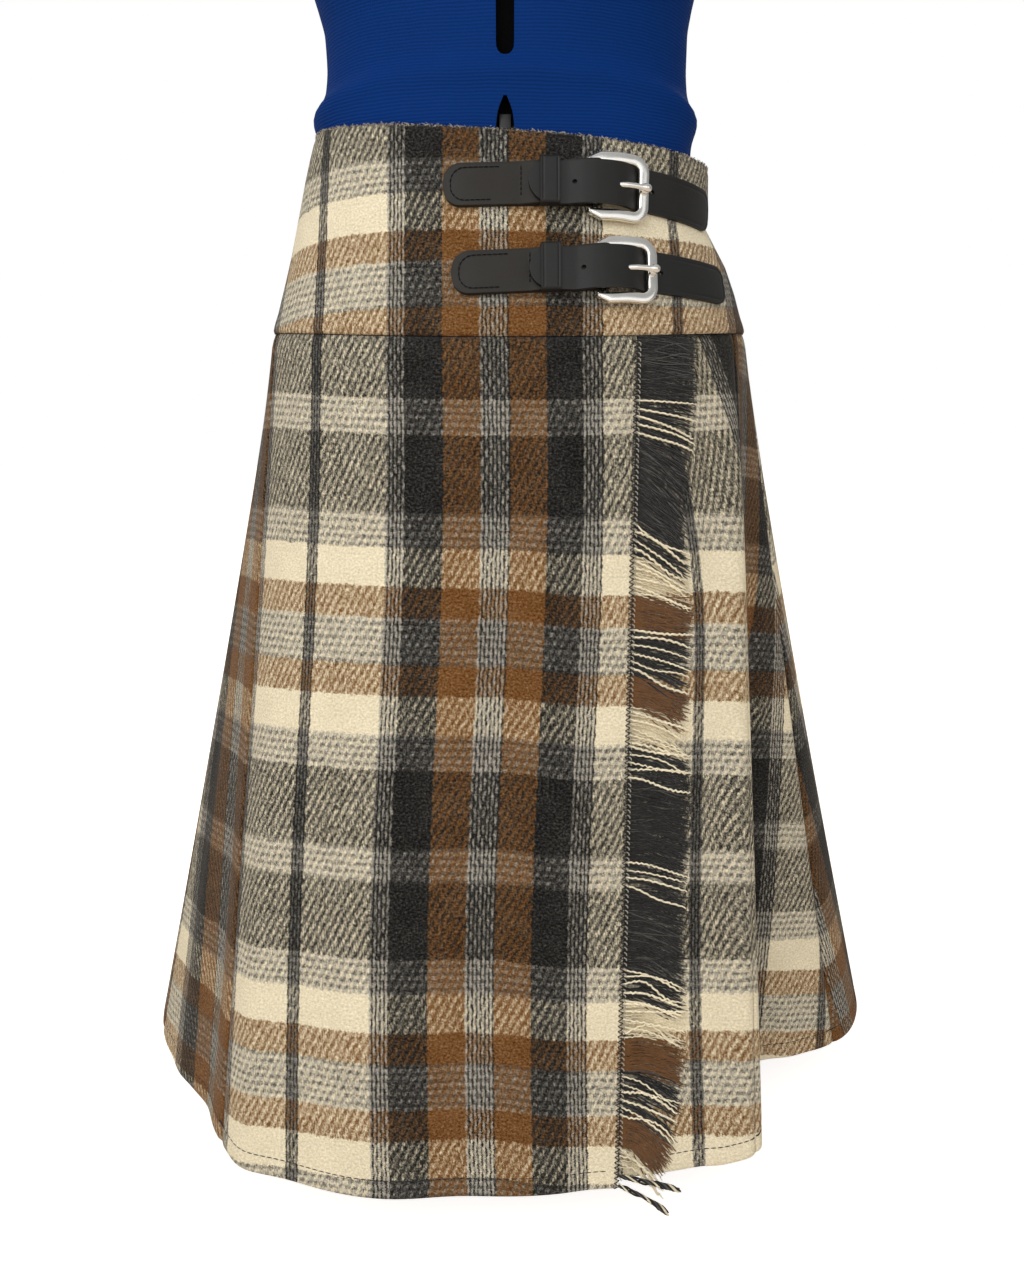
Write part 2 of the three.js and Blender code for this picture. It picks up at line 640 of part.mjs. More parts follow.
// The pin and its eye round the bar, all grown by the given clearance.
function tongueSolid(grow) {
  const centre = new THREE.Vector2(BAR.along, BAR.out);
  const whole = 2 * Math.PI;
  const outside = arc(centre, FOLD.outer - 0.1 + grow, 0, whole, 16).slice(0, -1);
  const bore = arc(centre, FOLD.inner - 0.1, 0, whole, 12).slice(0, -1);
  const eye = solid(acrossStrap(outside, TONGUE.eyeWidth + 2 * grow, grow > 0 ? [] : [bore]));
  const path = new THREE.CatmullRomCurve3([
    new THREE.Vector3(BAR.along + 3.6, BAR.out + 2.3, 0),
    new THREE.Vector3(60, 7.5, 0),
    new THREE.Vector3(66, 8.4, 0),
    new THREE.Vector3(74, 9.1, 0),
    new THREE.Vector3(86, 9, 0),
  ]);
  const round = new THREE.Shape().absarc(0, 0, TONGUE.radius + grow, 0, whole);
  const pin = new THREE.ExtrudeGeometry(round, {
    steps: 10, curveSegments: 8, bevelEnabled: false, extrudePath: path,
  });
  return eye.add(solid(closed(pin)));
}

function keeperGeometry() {
  const inner = STRAP_WIDTH / 2 + GAP;
  const outer = inner + KEEPER.side;
  const low = ON_CLOTH + TAB_LAYER + GAP;
  const innerLow = low + 1;
  const innerHigh = tableAt(BILLET_UNDER, KEEPER.to) + BILLET_THICK + GAP;
  const high = innerHigh + KEEPER.wall;
  const box = (half, from, to) => [
    new THREE.Vector2(-half, from), new THREE.Vector2(half, from),
    new THREE.Vector2(half, to), new THREE.Vector2(-half, to),
  ];
  const ring = acrossStrap(box(outer, low, high), KEEPER.to - KEEPER.from, [box(inner, innerLow, innerHigh)]);
  const middle = (KEEPER.from + KEEPER.to) / 2;
  return moved(ring, (p) => p.set(p.z + middle, p.y, p.x));
}

function buckleGeometry() {
  const left = BAR.along - BAR.half;
  const frame = roundedBox(left, BUCKLE.right, BUCKLE.height, 5, BUCKLE.corner);
  const window = roundedBox(BAR.along + BAR.half, BUCKLE.right - BUCKLE.bar,
    BUCKLE.height - 2 * BUCKLE.bar, 2, BUCKLE.corner - BUCKLE.bar);
  frame.holes = [new THREE.Path(window.getPoints(5).reverse())];
  const geometry = outOfCloth(frame, BAR.out - BUCKLE.half, BAR.out + BUCKLE.half, BUCKLE.bevel);
  const tilt = BUCKLE.raise / (BUCKLE.right - BAR.along - 10);
  return moved(geometry, (p) => {
    p.y += Math.max(0, p.x - BAR.along - 10) * tilt;
    p.z -= BUCKLE.drop;
  });
}

// A point on the yoke's face at a true height, by its distance round from the centre front.
function yokePoint(along, height) {
  let section = height;
  for (let i = 0; i < 3; i += 1) section += height - yokeOutline(section).at(along).z;
  return yokeOutline(section).at(along);
}

// Lays a mesh held as (along, out, up) onto the yoke at one fastening.
function onYoke(geometry, fastening) {
  const middle = BAR.along + 14;
  return moved(geometry, (p) => {
    const along = p.x + fastening.shift;
    const lean = p.x < middle
      ? THREE.MathUtils.mapLinear(p.x, TAB.from, middle, fastening.leftHeight, fastening.buckleHeight)
      : THREE.MathUtils.mapLinear(p.x, middle, BILLET.end, fastening.buckleHeight, fastening.endHeight);
    const place = yokePoint(along, lean + p.z * STRAP_SLOPE);
    const ahead = yokePoint(along + NORMAL_STEP, lean).sub(yokePoint(along - NORMAL_STEP, lean));
    const up = yokePoint(along, lean + NORMAL_STEP).sub(yokePoint(along, lean - NORMAL_STEP));
    p.copy(place.addScaledVector(ahead.cross(up).normalize(), p.y));
  });
}

function addFastenings() {
  const cut = tongueSolid(TONGUE.clearance);
  for (const fastening of FASTENINGS) {
    add(`tab_${fastening.name}`, onYoke(geometryOf(tabSolid(cut)), fastening), 'leather');
    add(`keeper_${fastening.name}`, onYoke(keeperGeometry(), fastening), 'leather');
    add(`buckle_${fastening.name}`, onYoke(buckleGeometry(), fastening), 'nickel');
    add(`tongue_${fastening.name}`, onYoke(geometryOf(tongueSolid(0)), fastening), 'nickel');
    add(`billet_${fastening.name}`, onYoke(geometryOf(billetSolid(cut)), fastening), 'leather');
  }
}

// ---------------------------------------------------------------- dress form

function formRings() {
  return FORM_SECTIONS.map((section) => {
    const outline = sectionOutline(section);
    return Array.from({ length: FORM_COLUMNS }, (_, j) => outline.at((outline.girth * j) / FORM_COLUMNS));
  });
}

function addForm() {
  let body = solid(loft(formRings()));
  for (const slot of SLOTS) body = body.subtract(slotSolid(slot));
  add('torso', geometryOf(body), 'cover');

  const depth = (height) => -sectionAt(FORM_SECTIONS, height).front + SLOT.depth - GAP;
  const bracket = acrossStrap([
    new THREE.Vector2(depth(ADJUSTER.from) - ADJUSTER.thick, ADJUSTER.from),
    new THREE.Vector2(depth(ADJUSTER.from), ADJUSTER.from),
    new THREE.Vector2(depth(ADJUSTER.to), ADJUSTER.to),
    new THREE.Vector2(depth(ADJUSTER.to) - ADJUSTER.thick, ADJUSTER.to),
  ], ADJUSTER.width);
  add('adjuster', moved(bracket, (p) => p.set(p.z + SLOT.middle, p.x, p.y)), 'plastic');
}

// One stretch of the gap: its tapered outline from the front, met with its depth from the side.
function slotSolid({ from, to }) {
  const half = SLOT.width / 2;
  const point = (x, y) => new THREE.Vector2(x, y);
  const outline = new THREE.Shape([
    point(-0.8, from), point(0.8, from), point(half, from + SLOT.taper), point(half, to - SLOT.taper),
    point(0.8, to), point(-0.8, to), point(-half, to - SLOT.taper), point(-half, from + SLOT.taper),
  ]);
  const through = new THREE.ExtrudeGeometry(outline, { depth: 200, steps: 1, bevelEnabled: false });
  const depth = (height) => -sectionAt(FORM_SECTIONS, height).front + SLOT.depth;
  const between = FORM_SECTIONS.map((section) => section.height).filter((h) => h > from && h < to);
  const side = [point(-200, from - 1), ...[from - 1, ...between, to + 1].map((h) => point(depth(h), h)),
    point(-200, to + 1)];
  const deep = moved(acrossStrap(side, 3 * SLOT.width), (p) => p.set(p.z, p.x, p.y));
  const open = moved(closed(through), (p) => p.set(p.x, -p.z, p.y));
  return solid(open).intersect(solid(deep)).translate([SLOT.middle, 0, 0]);
}

function turned(profile, segments) {
  const points = profile.map(([radius, height]) => new THREE.Vector2(radius, height));
  return closed(new THREE.LatheGeometry(points, segments).rotateX(Math.PI / 2));
}

function addStand() {
  const cap = FORM_TOP + GAP;
  const capTop = cap + NECK_CAP.thick;
  add('neck_cap', turned([
    [0, cap], [NECK_CAP.radius - 2, cap], [NECK_CAP.radius, cap + 2], [NECK_CAP.radius, capTop - 2],
    [NECK_CAP.radius - 3, capTop], [NECK_CAP.knob - 5, capTop + 2], [NECK_CAP.knob - 6, capTop + 6],
    [NECK_CAP.knob, capTop + 12], [NECK_CAP.knob - 3, capTop + NECK_CAP.knobHeight - 3],
    [0, capTop + NECK_CAP.knobHeight],
  ], 32), 'plastic');
  const poleFoot = BASE.boreFloor + GAP;
  const poleTop = FORM_BOTTOM - GAP;
  add('pole', closed(new THREE.CylinderGeometry(POLE_RADIUS, POLE_RADIUS, poleTop - poleFoot, 24)
    .rotateX(Math.PI / 2).translate(0, 0, (poleTop + poleFoot) / 2)), 'steel');
  const bore = POLE_RADIUS + GAP;
  add('base', turned([
    [0, 0], [BASE.radius - 1.5, 0], [BASE.radius, 1.5], [BASE.radius, BASE.thick - 1.5],
    [BASE.radius - 1.5, BASE.thick], [BASE.hubRadius, BASE.thick], [BASE.hubRadius - 3, BASE.hubHeight - 2],
    [BASE.hubRadius - 5, BASE.hubHeight], [bore, BASE.hubHeight], [bore, BASE.boreFloor],
    [0, BASE.boreFloor],
  ], 48), 'steel');
}

// ---------------------------------------------------------------- build

add('yoke_front', yokeWall(true, COLUMNS.yokeFront), 'plaid');
add('yoke_back', yokeWall(false, COLUMNS.yokeBack), 'plaid');
addPanels();
addFringe();
addFastenings();
addForm();
addStand();

export default object;
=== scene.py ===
"""A checked wool wrap skirt with a fringed edge and two buckle straps, on a limbless dress form."""
import json
import math
from contextlib import contextmanager

import bmesh
import bpy
import numpy as np
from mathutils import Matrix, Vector

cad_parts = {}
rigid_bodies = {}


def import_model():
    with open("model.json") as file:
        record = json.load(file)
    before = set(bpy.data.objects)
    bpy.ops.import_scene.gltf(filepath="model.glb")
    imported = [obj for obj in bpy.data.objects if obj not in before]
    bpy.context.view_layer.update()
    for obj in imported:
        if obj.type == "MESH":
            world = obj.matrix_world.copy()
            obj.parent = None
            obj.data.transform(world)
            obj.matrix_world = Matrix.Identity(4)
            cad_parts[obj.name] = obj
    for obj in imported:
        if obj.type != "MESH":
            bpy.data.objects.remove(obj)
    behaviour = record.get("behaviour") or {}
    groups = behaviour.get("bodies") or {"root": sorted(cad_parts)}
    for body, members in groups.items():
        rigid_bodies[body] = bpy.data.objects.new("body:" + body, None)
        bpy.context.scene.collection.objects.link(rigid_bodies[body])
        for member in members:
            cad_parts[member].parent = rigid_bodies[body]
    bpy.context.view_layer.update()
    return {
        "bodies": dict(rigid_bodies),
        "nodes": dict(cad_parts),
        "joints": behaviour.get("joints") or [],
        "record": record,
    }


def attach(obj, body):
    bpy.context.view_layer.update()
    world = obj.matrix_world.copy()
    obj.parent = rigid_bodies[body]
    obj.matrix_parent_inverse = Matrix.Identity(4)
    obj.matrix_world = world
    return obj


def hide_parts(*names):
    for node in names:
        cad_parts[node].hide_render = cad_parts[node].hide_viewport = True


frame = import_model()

bl_info = {
    "name": "Checked Skirt on a Dress Form",
    "version": (1, 0, 0),
    "blender": (4, 5, 0),
    "location": "View3D > Sidebar > Skirt",
    "description": "Dresses the packed skirt in plaid wool, fringe, leather and nickel",
    "category": "Add Mesh",
}

# ---------------------------------------------------------------- the skirt's shape, in millimetres

SEAM_HEIGHT, TOP_HEIGHT, HEM_HEIGHT = 523.0, 640.0, 35.0
SIDE_RISE = 6.0            # how far the yoke seam rises at the sides
TOP_TILT = 9.5             # how far the top edge falls to the right and rises to the left
CLOTH_LENGTH = 500.0       # the panels from the yoke seam to the hem, about

# height, half widths left and right, reach front and back, squareness
YOKE_SECTIONS = (
    (523, 155.5, 161.5, 125, 116, 2.15),
    (552, 146.5, 153.5, 116.5, 110, 2.2),
    (571, 141, 147, 110.5, 106, 2.2),
    (599, 134, 132.5, 102.5, 100, 2.25),
    (615, 130, 134, 97.5, 97, 2.3),
    (640, 123, 133, 90, 92, 2.35),
)

# The hem in plan, from the left front seam round the front, the right side and the back: x, y.
HEM_FOLDS = (
    (-178, -184), (-161, -203), (-146, -211.5), (-120, -221), (-72, -230.5),
    (-13, -230),                                           # centre
    (30, -227), (69, -223), (112, -215), (137, -206),
    (155, -189), (158, -168), (160, -146), (163, -126),    # right ridge and its hidden side
    (171, -110), (184, -101.5), (206, -95), (228, -88), (250, -72), (267, -42), (275, 0),
    (266, 42), (238, 82), (222, 122), (190, 160), (142, 158), (95, 183), (45, 170),
    (-2, 187),                                             # centre back
    (-48, 170), (-92, 188), (-135, 163), (-182, 165), (-216, 124), (-234, 82), (-257, 42),
    (-264, -2), (-260, -38), (-247, -78), (-225, -112), (-202, -145),
)
HEM_CENTRE = 5             # where its centre stands in the list

CENTRE_AT_SEAM = -5.4      # the front's middle, along the yoke seam
FRONT_LEFT, FRONT_RIGHT = 178.0, 174.0             # from the front's middle to its two seams
SIDE_AT_SEAM = 45.0
SIDE_AT_HEM = {"left": 141.0, "right": 158.0}      # the side panels' widths
PAST_LEFT, PAST_RIGHT = 0.47, 0.32     # a step along the yoke for one along the hem, behind
APRON_EDGE, APRON_LEAN = 85.5, -5.0    # the frayed edge at the yoke, and its lean by the hem
UNDERLAP_START = -30.0
UNDERLAP_SINK, UNDERLAP_FALL = 3.1, 4.6            # its depth at the yoke, and its drop by the hem
FRINGE_REACH, FRINGE_TAIL = 47.0, 24.0             # the yarns' reach, sideways and below the hem
HEM_STITCH = 11.0          # the hem's stitch line above its edge
SEAM_GAP = 0.15            # each panel stops this short of its seam

# Soft folds in the panels: place along the hem, share of the way down where they begin and where
# they are full, width, and depth (out of the cloth when positive).
CREASES = (
    ("left front fold", -150, 0.25, 0.75, 16, 2.2),
    ("left trough", -118, 0.35, 0.85, 20, -1.6),
    ("left centre swell", -62, 0.2, 0.7, 34, 1.3),
    ("centre trough", -18, 0.45, 0.95, 22, -1.2),
    ("right centre swell", 34, 0.3, 0.8, 26, 1.4),
    ("edge trough", 64, 0.5, 1, 12, -0.9),
    ("underlap swell", 148, 0.3, 0.8, 13, 1.5),
    ("right seam ridge", 180, 0.0, 0.22, 15, 5.0),
    ("right flare trough", 250, 0.3, 0.8, 18, -2.6),
    ("right flare ridge", 292, 0.35, 0.85, 15, 2.4),
    ("back right trough", 430, 0.2, 0.7, 22, -2.8),
    ("back right ridge", 505, 0.35, 0.85, 20, 2.2),
    ("back trough", 640, 0.15, 0.65, 26, -2.4),
    ("back ridge", 760, 0.4, 0.9, 19, 2.6),
    ("back left trough", 880, 0.3, 0.8, 24, -2.2),
    ("back left ridge", 985, 0.25, 0.75, 18, 2.3),
    ("left flare trough", -215, 0.35, 0.85, 15, -2.2),
    ("left flare ridge", -262, 0.3, 0.8, 17, 2.4),
)


def measured(line):
    """The distance run at each point of a line."""
    steps = np.linalg.norm(np.diff(line, axis=0), axis=1)
    return np.concatenate([[0.0], np.cumsum(steps)])


def between_rows(at, places, table):
    """A table's columns, each read between its rows."""
    return np.stack([np.interp(at, places, column) for column in table.T], -1)


class Outline:
    """A closed line of points, measured along in plan from one of them."""

    def __init__(self, points, zero):
        self.points = np.vstack([points, points[:1]])
        self.lengths = measured(self.points[:, :2])
        self.girth = self.lengths[-1]
        self.zero = self.lengths[zero]

    def at(self, distance):
        wanted = np.mod(np.asarray(distance, float) + self.zero, self.girth)
        return between_rows(wanted, self.lengths, self.points)

    def distance_to(self, index):
        return self.lengths[index] - self.zero


OUTLINE_STEPS = 960
HEM_STEPS = 28             # between two of the hem's folds


def section_outline(section, rise=None):
    """A rounded section, from the centre back past the left side, the front and the right side.
    Rise gives how far it climbs at each share across."""
    height, left, right, front, back, square = section
    angle = np.linspace(-math.pi, math.pi, OUTLINE_STEPS, endpoint=False)
    across, ahead = np.sin(angle), np.cos(angle)
    x = np.where(across < 0, left, right) * np.sign(across) * np.abs(across) ** (2 / square)
    y = -np.where(ahead < 0, back, front) * np.sign(ahead) * np.abs(ahead) ** (2 / square)
    z = height + (rise(across) if rise else np.zeros_like(x))
    return Outline(np.stack([x, y, z], -1), OUTLINE_STEPS // 2)


def section_at(sections, height):
    """The section at a height, mixed from the two beside it."""
    table = np.array(sections, float)
    i = int(np.clip(np.searchsorted(table[:, 0], height) - 1, 0, len(table) - 2))
    share = (height - table[i, 0]) / (table[i + 1, 0] - table[i, 0])
    mixed = table[i] + (table[i + 1] - table[i]) * share
    mixed[0] = height
    return mixed


def yoke_outline(height):
    """The yoke's outline, which rises at the sides at the seam and tilts at the top edge."""
    share = (height - SEAM_HEIGHT) / (TOP_HEIGHT - SEAM_HEIGHT)

    def rise(across):
        return SIDE_RISE * across ** 2 * (1 - share) - TOP_TILT * across * share

    return section_outline(section_at(YOKE_SECTIONS, height), rise)


def hem_curve(folds, steps):
    """A smooth closed line through the folds, tightest where they are close together."""
    points = np.array(folds, float)
    count = len(points)
    line = []
    t = np.linspace(0, 1, steps, endpoint=False)[:, None]
    for i in range(count):
        p0, p1, p2, p3 = (points[(i + k) % count] for k in (-1, 0, 1, 2))
        d1, d2, d3 = (np.linalg.norm(b - a) ** 0.5 for a, b in ((p0, p1), (p1, p2), (p2, p3)))
        start = ((p1 - p0) / d1 - (p2 - p0) / (d1 + d2) + (p2 - p1) / d2) * d2
        end = ((p2 - p1) / d2 - (p3 - p1) / (d2 + d3) + (p3 - p2) / d3) * d2
        line.append((2 * t ** 3 - 3 * t ** 2 + 1) * p1 + (t ** 3 - 2 * t ** 2 + t) * start
                    + (3 * t ** 2 - 2 * t ** 3) * p2 + (t ** 3 - t ** 2) * end)
    plan = np.vstack(line)
    return np.column_stack([plan, np.full(len(plan), HEM_HEIGHT)])


SEAM_LINE = yoke_outline(SEAM_HEIGHT)
HEM_LINE = Outline(hem_curve(HEM_FOLDS, HEM_STEPS), HEM_CENTRE * HEM_STEPS)
BACK_FROM = FRONT_RIGHT + SIDE_AT_HEM["right"]
BACK_TO = HEM_LINE.girth - FRONT_LEFT - SIDE_AT_HEM["left"]
BACK_SEAM = (BACK_FROM + BACK_TO) / 2
SEAMS_AT_HEM = np.array([-FRONT_LEFT - SIDE_AT_HEM["left"], -FRONT_LEFT,
                         FRONT_RIGHT, BACK_FROM, BACK_TO])
SEAMS_AT_TOP = np.array([-FRONT_LEFT - SIDE_AT_SEAM, -FRONT_LEFT,
                         FRONT_RIGHT, FRONT_RIGHT + SIDE_AT_SEAM,
                         SEAM_LINE.girth - FRONT_LEFT - SIDE_AT_SEAM])


def panel_point(along, down):
    """A point on the panels' face, by its distance along the hem and its share of the way down."""
    top_along = np.interp(along, SEAMS_AT_HEM, SEAMS_AT_TOP)
    for end, past, pace in ((0, along < SEAMS_AT_HEM[0], PAST_LEFT),
                            (-1, along > SEAMS_AT_HEM[-1], PAST_RIGHT)):
        beyond = SEAMS_AT_TOP[end] + (along - SEAMS_AT_HEM[end]) * pace
        top_along = np.where(past, beyond, top_along)
    top = SEAM_LINE.at(CENTRE_AT_SEAM + top_along)
    hem = HEM_LINE.at(along)
    return top + (hem - top) * np.asarray(down)[..., None]


def plan_normal(before, after):
    """The way out of the cloth, level with the floor, from a point on each side."""
    out = np.stack([after[..., 1] - before[..., 1], before[..., 0] - after[..., 0],
                    np.zeros_like(before[..., 0])], -1)
    return out / np.linalg.norm(out, axis=-1, keepdims=True)


def smooth(value, low, high):
    """Eases from 0 to 1 as a value goes from low to high."""
    t = np.clip((value - low) / (high - low), 0, 1)
    return t * t * (3 - 2 * t)


def crease(along, down):
    """How far the soft folds stand out of the cloth."""
    total = np.zeros_like(along)
    for _, middle, start, full, width, depth in CREASES:
        bell = np.exp(-((along - middle * (0.9 + 0.1 * down)) / width) ** 2)
        total += depth * bell * smooth(down, start, full)
    return total


def panel_normal(along, down, step=3.0):
    """The way out of the panels' face, level with the floor."""
    return plan_normal(panel_point(along - step, down), panel_point(along + step, down))


def panel_face(along, down, inset):
    """Points on the lower panels, creased, and set in from the face by an inset."""
    depth = np.asarray(inset - crease(along, down))
    return panel_point(along, down) - panel_normal(along, down) * depth[..., None]


def from_front(along):
    """Distances along the hem, with those past the back's left seam counted back from the front."""
    return np.where(along >= BACK_TO, along - HEM_LINE.girth, along)


def apron_edge(down):
    """The frayed edge's place along the hem."""
    return APRON_EDGE + APRON_LEAN * down


def underlap_sink(along, down):
    """How deep the underlap lies behind the face, easing out to its right seam."""
    easing = 1 - smooth(along, APRON_EDGE + FRINGE_REACH + 3, FRONT_RIGHT - 2)
    return (UNDERLAP_SINK + UNDERLAP_FALL * down) * easing


def yoke_point(along, height):
    """Points on the yoke's face at true heights."""
    rows = [yoke_outline(h) for h in np.linspace(SEAM_HEIGHT - 8, TOP_HEIGHT + 12, 57)]
    stack = np.stack([row.at(along) for row in rows])
    index = np.argmax(stack[:, :, 2] >= height[None, :], axis=0).clip(1, len(rows) - 1)
    pick = np.arange(len(along))
    low, high = stack[index - 1, pick], stack[index, pick]
    share = ((height - low[:, 2]) / (high[:, 2] - low[:, 2]))[:, None]
    return low + (high - low) * share


# ---------------------------------------------------------------- making meshes

MM = 0.001


def corners_of(mesh):
    """The mesh's points, in metres."""
    count = len(mesh.vertices)
    co = np.empty(count * 3)
    mesh.vertices.foreach_get("co", co)
    return co.reshape(count, 3)


def set_corners(mesh, points):
    """Moves the mesh's points, in metres."""
    mesh.vertices.foreach_set("co", np.ascontiguousarray(points, dtype=np.float32).ravel())
    mesh.update()


def set_cut(mesh, cut):
    """Stores each corner's place on the flat cut, in metres."""
    layer = mesh.uv_layers.get("cut") or mesh.uv_layers.new(name="cut")
    index = np.empty(len(mesh.loops), np.int32)
    mesh.loops.foreach_get("vertex_index", index)
    layer.data.foreach_set("uv", np.ascontiguousarray(cut[index] * MM, dtype=np.float32).ravel())


@contextmanager
def shaping(mesh):
    """A bmesh of the mesh, put back into it when the shaping is done."""
    bm = bmesh.new()
    bm.from_mesh(mesh)
    yield bm
    bm.to_mesh(mesh)
    bm.free()


def placed(name, data):
    """A new object in the scene."""
    thing = bpy.data.objects.new(name, data)
    bpy.context.scene.collection.objects.link(thing)
    return thing


def new_object(name, mesh, material):
    """A smooth-shaded piece of one material."""
    piece = placed(name, mesh)
    mesh.materials.append(material)
    mesh.shade_smooth()
    return piece


def grid(name, columns, rows, place, cut, material):
    """A sheet: place and cut give each point's position and its place on the flat cut, in
    millimetres, from its shares across and down."""
    mesh = bpy.data.meshes.new(name)
    with shaping(mesh) as bm:
        bmesh.ops.create_grid(bm, x_segments=columns, y_segments=rows, size=0.5)
    flat = corners_of(mesh)
    across, down = flat[:, 0] + 0.5, 0.5 - flat[:, 1]
    set_corners(mesh, place(across, down) * MM)
    set_cut(mesh, cut(across, down))
    return new_object(name, mesh, material)


def thicken(piece, thickness, offset=-1.0):
    """Gives a sheet its wall, inwards, or on both sides with an offset of 0."""
    wall = piece.modifiers.new("Thickness", "SOLIDIFY")
    wall.thickness = thickness * MM
    wall.offset = offset
    wall.use_even_offset = False


def finish_edges(piece, width):
    """Rounds off a strap's cut edges."""
    edge = piece.modifiers.new("Edges", "BEVEL")
    edge.width = width * MM
    edge.segments = 2
    edge.limit_method = "ANGLE"
    edge.angle_limit = math.radians(55)


def apply_modifiers(piece):
    """Makes what the modifiers give the piece's own mesh."""
    graph = bpy.context.evaluated_depsgraph_get()
    mesh = bpy.data.meshes.new_from_object(piece.evaluated_get(graph))
    mesh.name = piece.name
    piece.modifiers.clear()
    piece.data = mesh


def cut_out(piece, cutters, materials="INDEX"):
    """Cuts the cutters' shapes out of a piece and removes them."""
    for cutter in cutters:
        cut = piece.modifiers.new("Cut", "BOOLEAN")
        cut.operation = "DIFFERENCE"
        cut.solver = "EXACT"
        cut.material_mode = materials
        cut.object = cutter
    apply_modifiers(piece)
    for cutter in cutters:
        bpy.data.objects.remove(cutter)


def closed_up(piece, fill=True):
    """Joins a sheet's meeting edges, fills its open ends and faces it outwards."""
    with shaping(piece.data) as bm:
        bmesh.ops.remove_doubles(bm, verts=bm.verts, dist=1e-6)
        if fill:
            rims = [edge for edge in bm.edges if edge.is_boundary]
            bmesh.ops.holes_fill(bm, edges=rims, sides=0)
        bmesh.ops.recalc_face_normals(bm, faces=bm.faces)
    return piece


def keep(piece, slot, *nodes):
    """The piece rides on the part and stands for its CAD nodes, which it hides; the slot is not
    used.
    """
    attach(piece, "root")
    if nodes:
        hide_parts(*nodes)
    return piece


def threads(name, paths, radius, material, sides=0, place=None):
    """Thin tubes along paths of points in millimetres, joined in one mesh. A path may carry its
    own radii as a fourth column."""
    curve = bpy.data.curves.new(name, "CURVE")
    curve.dimensions = "3D"
    curve.bevel_depth = radius * MM
    curve.bevel_resolution = sides
    curve.use_fill_caps = True
    for path in paths:
        path = np.asarray(path, float)
        spline = curve.splines.new("POLY")
        spline.points.add(len(path) - 1)
        co = np.column_stack([path[:, :3] * MM, np.ones(len(path))])
        spline.points.foreach_set("co", co.ravel())
        if path.shape[1] > 3:
            spline.points.foreach_set("radius", path[:, 3])
    shaper = placed(name, curve)
    graph = bpy.context.evaluated_depsgraph_get()
    mesh = bpy.data.meshes.new_from_object(shaper.evaluated_get(graph))
    mesh.name = name
    bpy.data.objects.remove(shaper)
    bpy.data.curves.remove(curve)
    mesh.materials.clear()
    if place:
        set_corners(mesh, place(corners_of(mesh) / MM) * MM)
    return new_object(name, mesh, material)


def join(name, pieces):
    """Joins pieces into the first, which takes the name."""
    with bpy.context.temp_override(active_object=pieces[0], object=pieces[0],
                                   selected_objects=pieces, selected_editable_objects=pieces):
        bpy.ops.object.join()
    pieces[0].name = name
    pieces[0].data.name = name
    return pieces[0]


def turned(name, profile, material, steps=96):
    """A shape turned about the upright axis from radius and height pairs in millimetres."""
    mesh = bpy.data.meshes.new(name)
    with shaping(mesh) as bm:
        verts = [bm.verts.new((r * MM, 0, z * MM)) for r, z in profile]
        edges = [bm.edges.new(pair) for pair in zip(verts, verts[1:])]
        bmesh.ops.spin(bm, geom=verts + edges, cent=(0, 0, 0), axis=(0, 0, 1),
                       angle=2 * math.pi, steps=steps, use_merge=True)
        bmesh.ops.remove_doubles(bm, verts=bm.verts, dist=1e-6)
        bmesh.ops.recalc_face_normals(bm, faces=bm.faces)
    piece = new_object(name, mesh, material)
    mesh.set_sharp_from_angle(angle=math.radians(35))
    return piece


# ---------------------------------------------------------------- materials


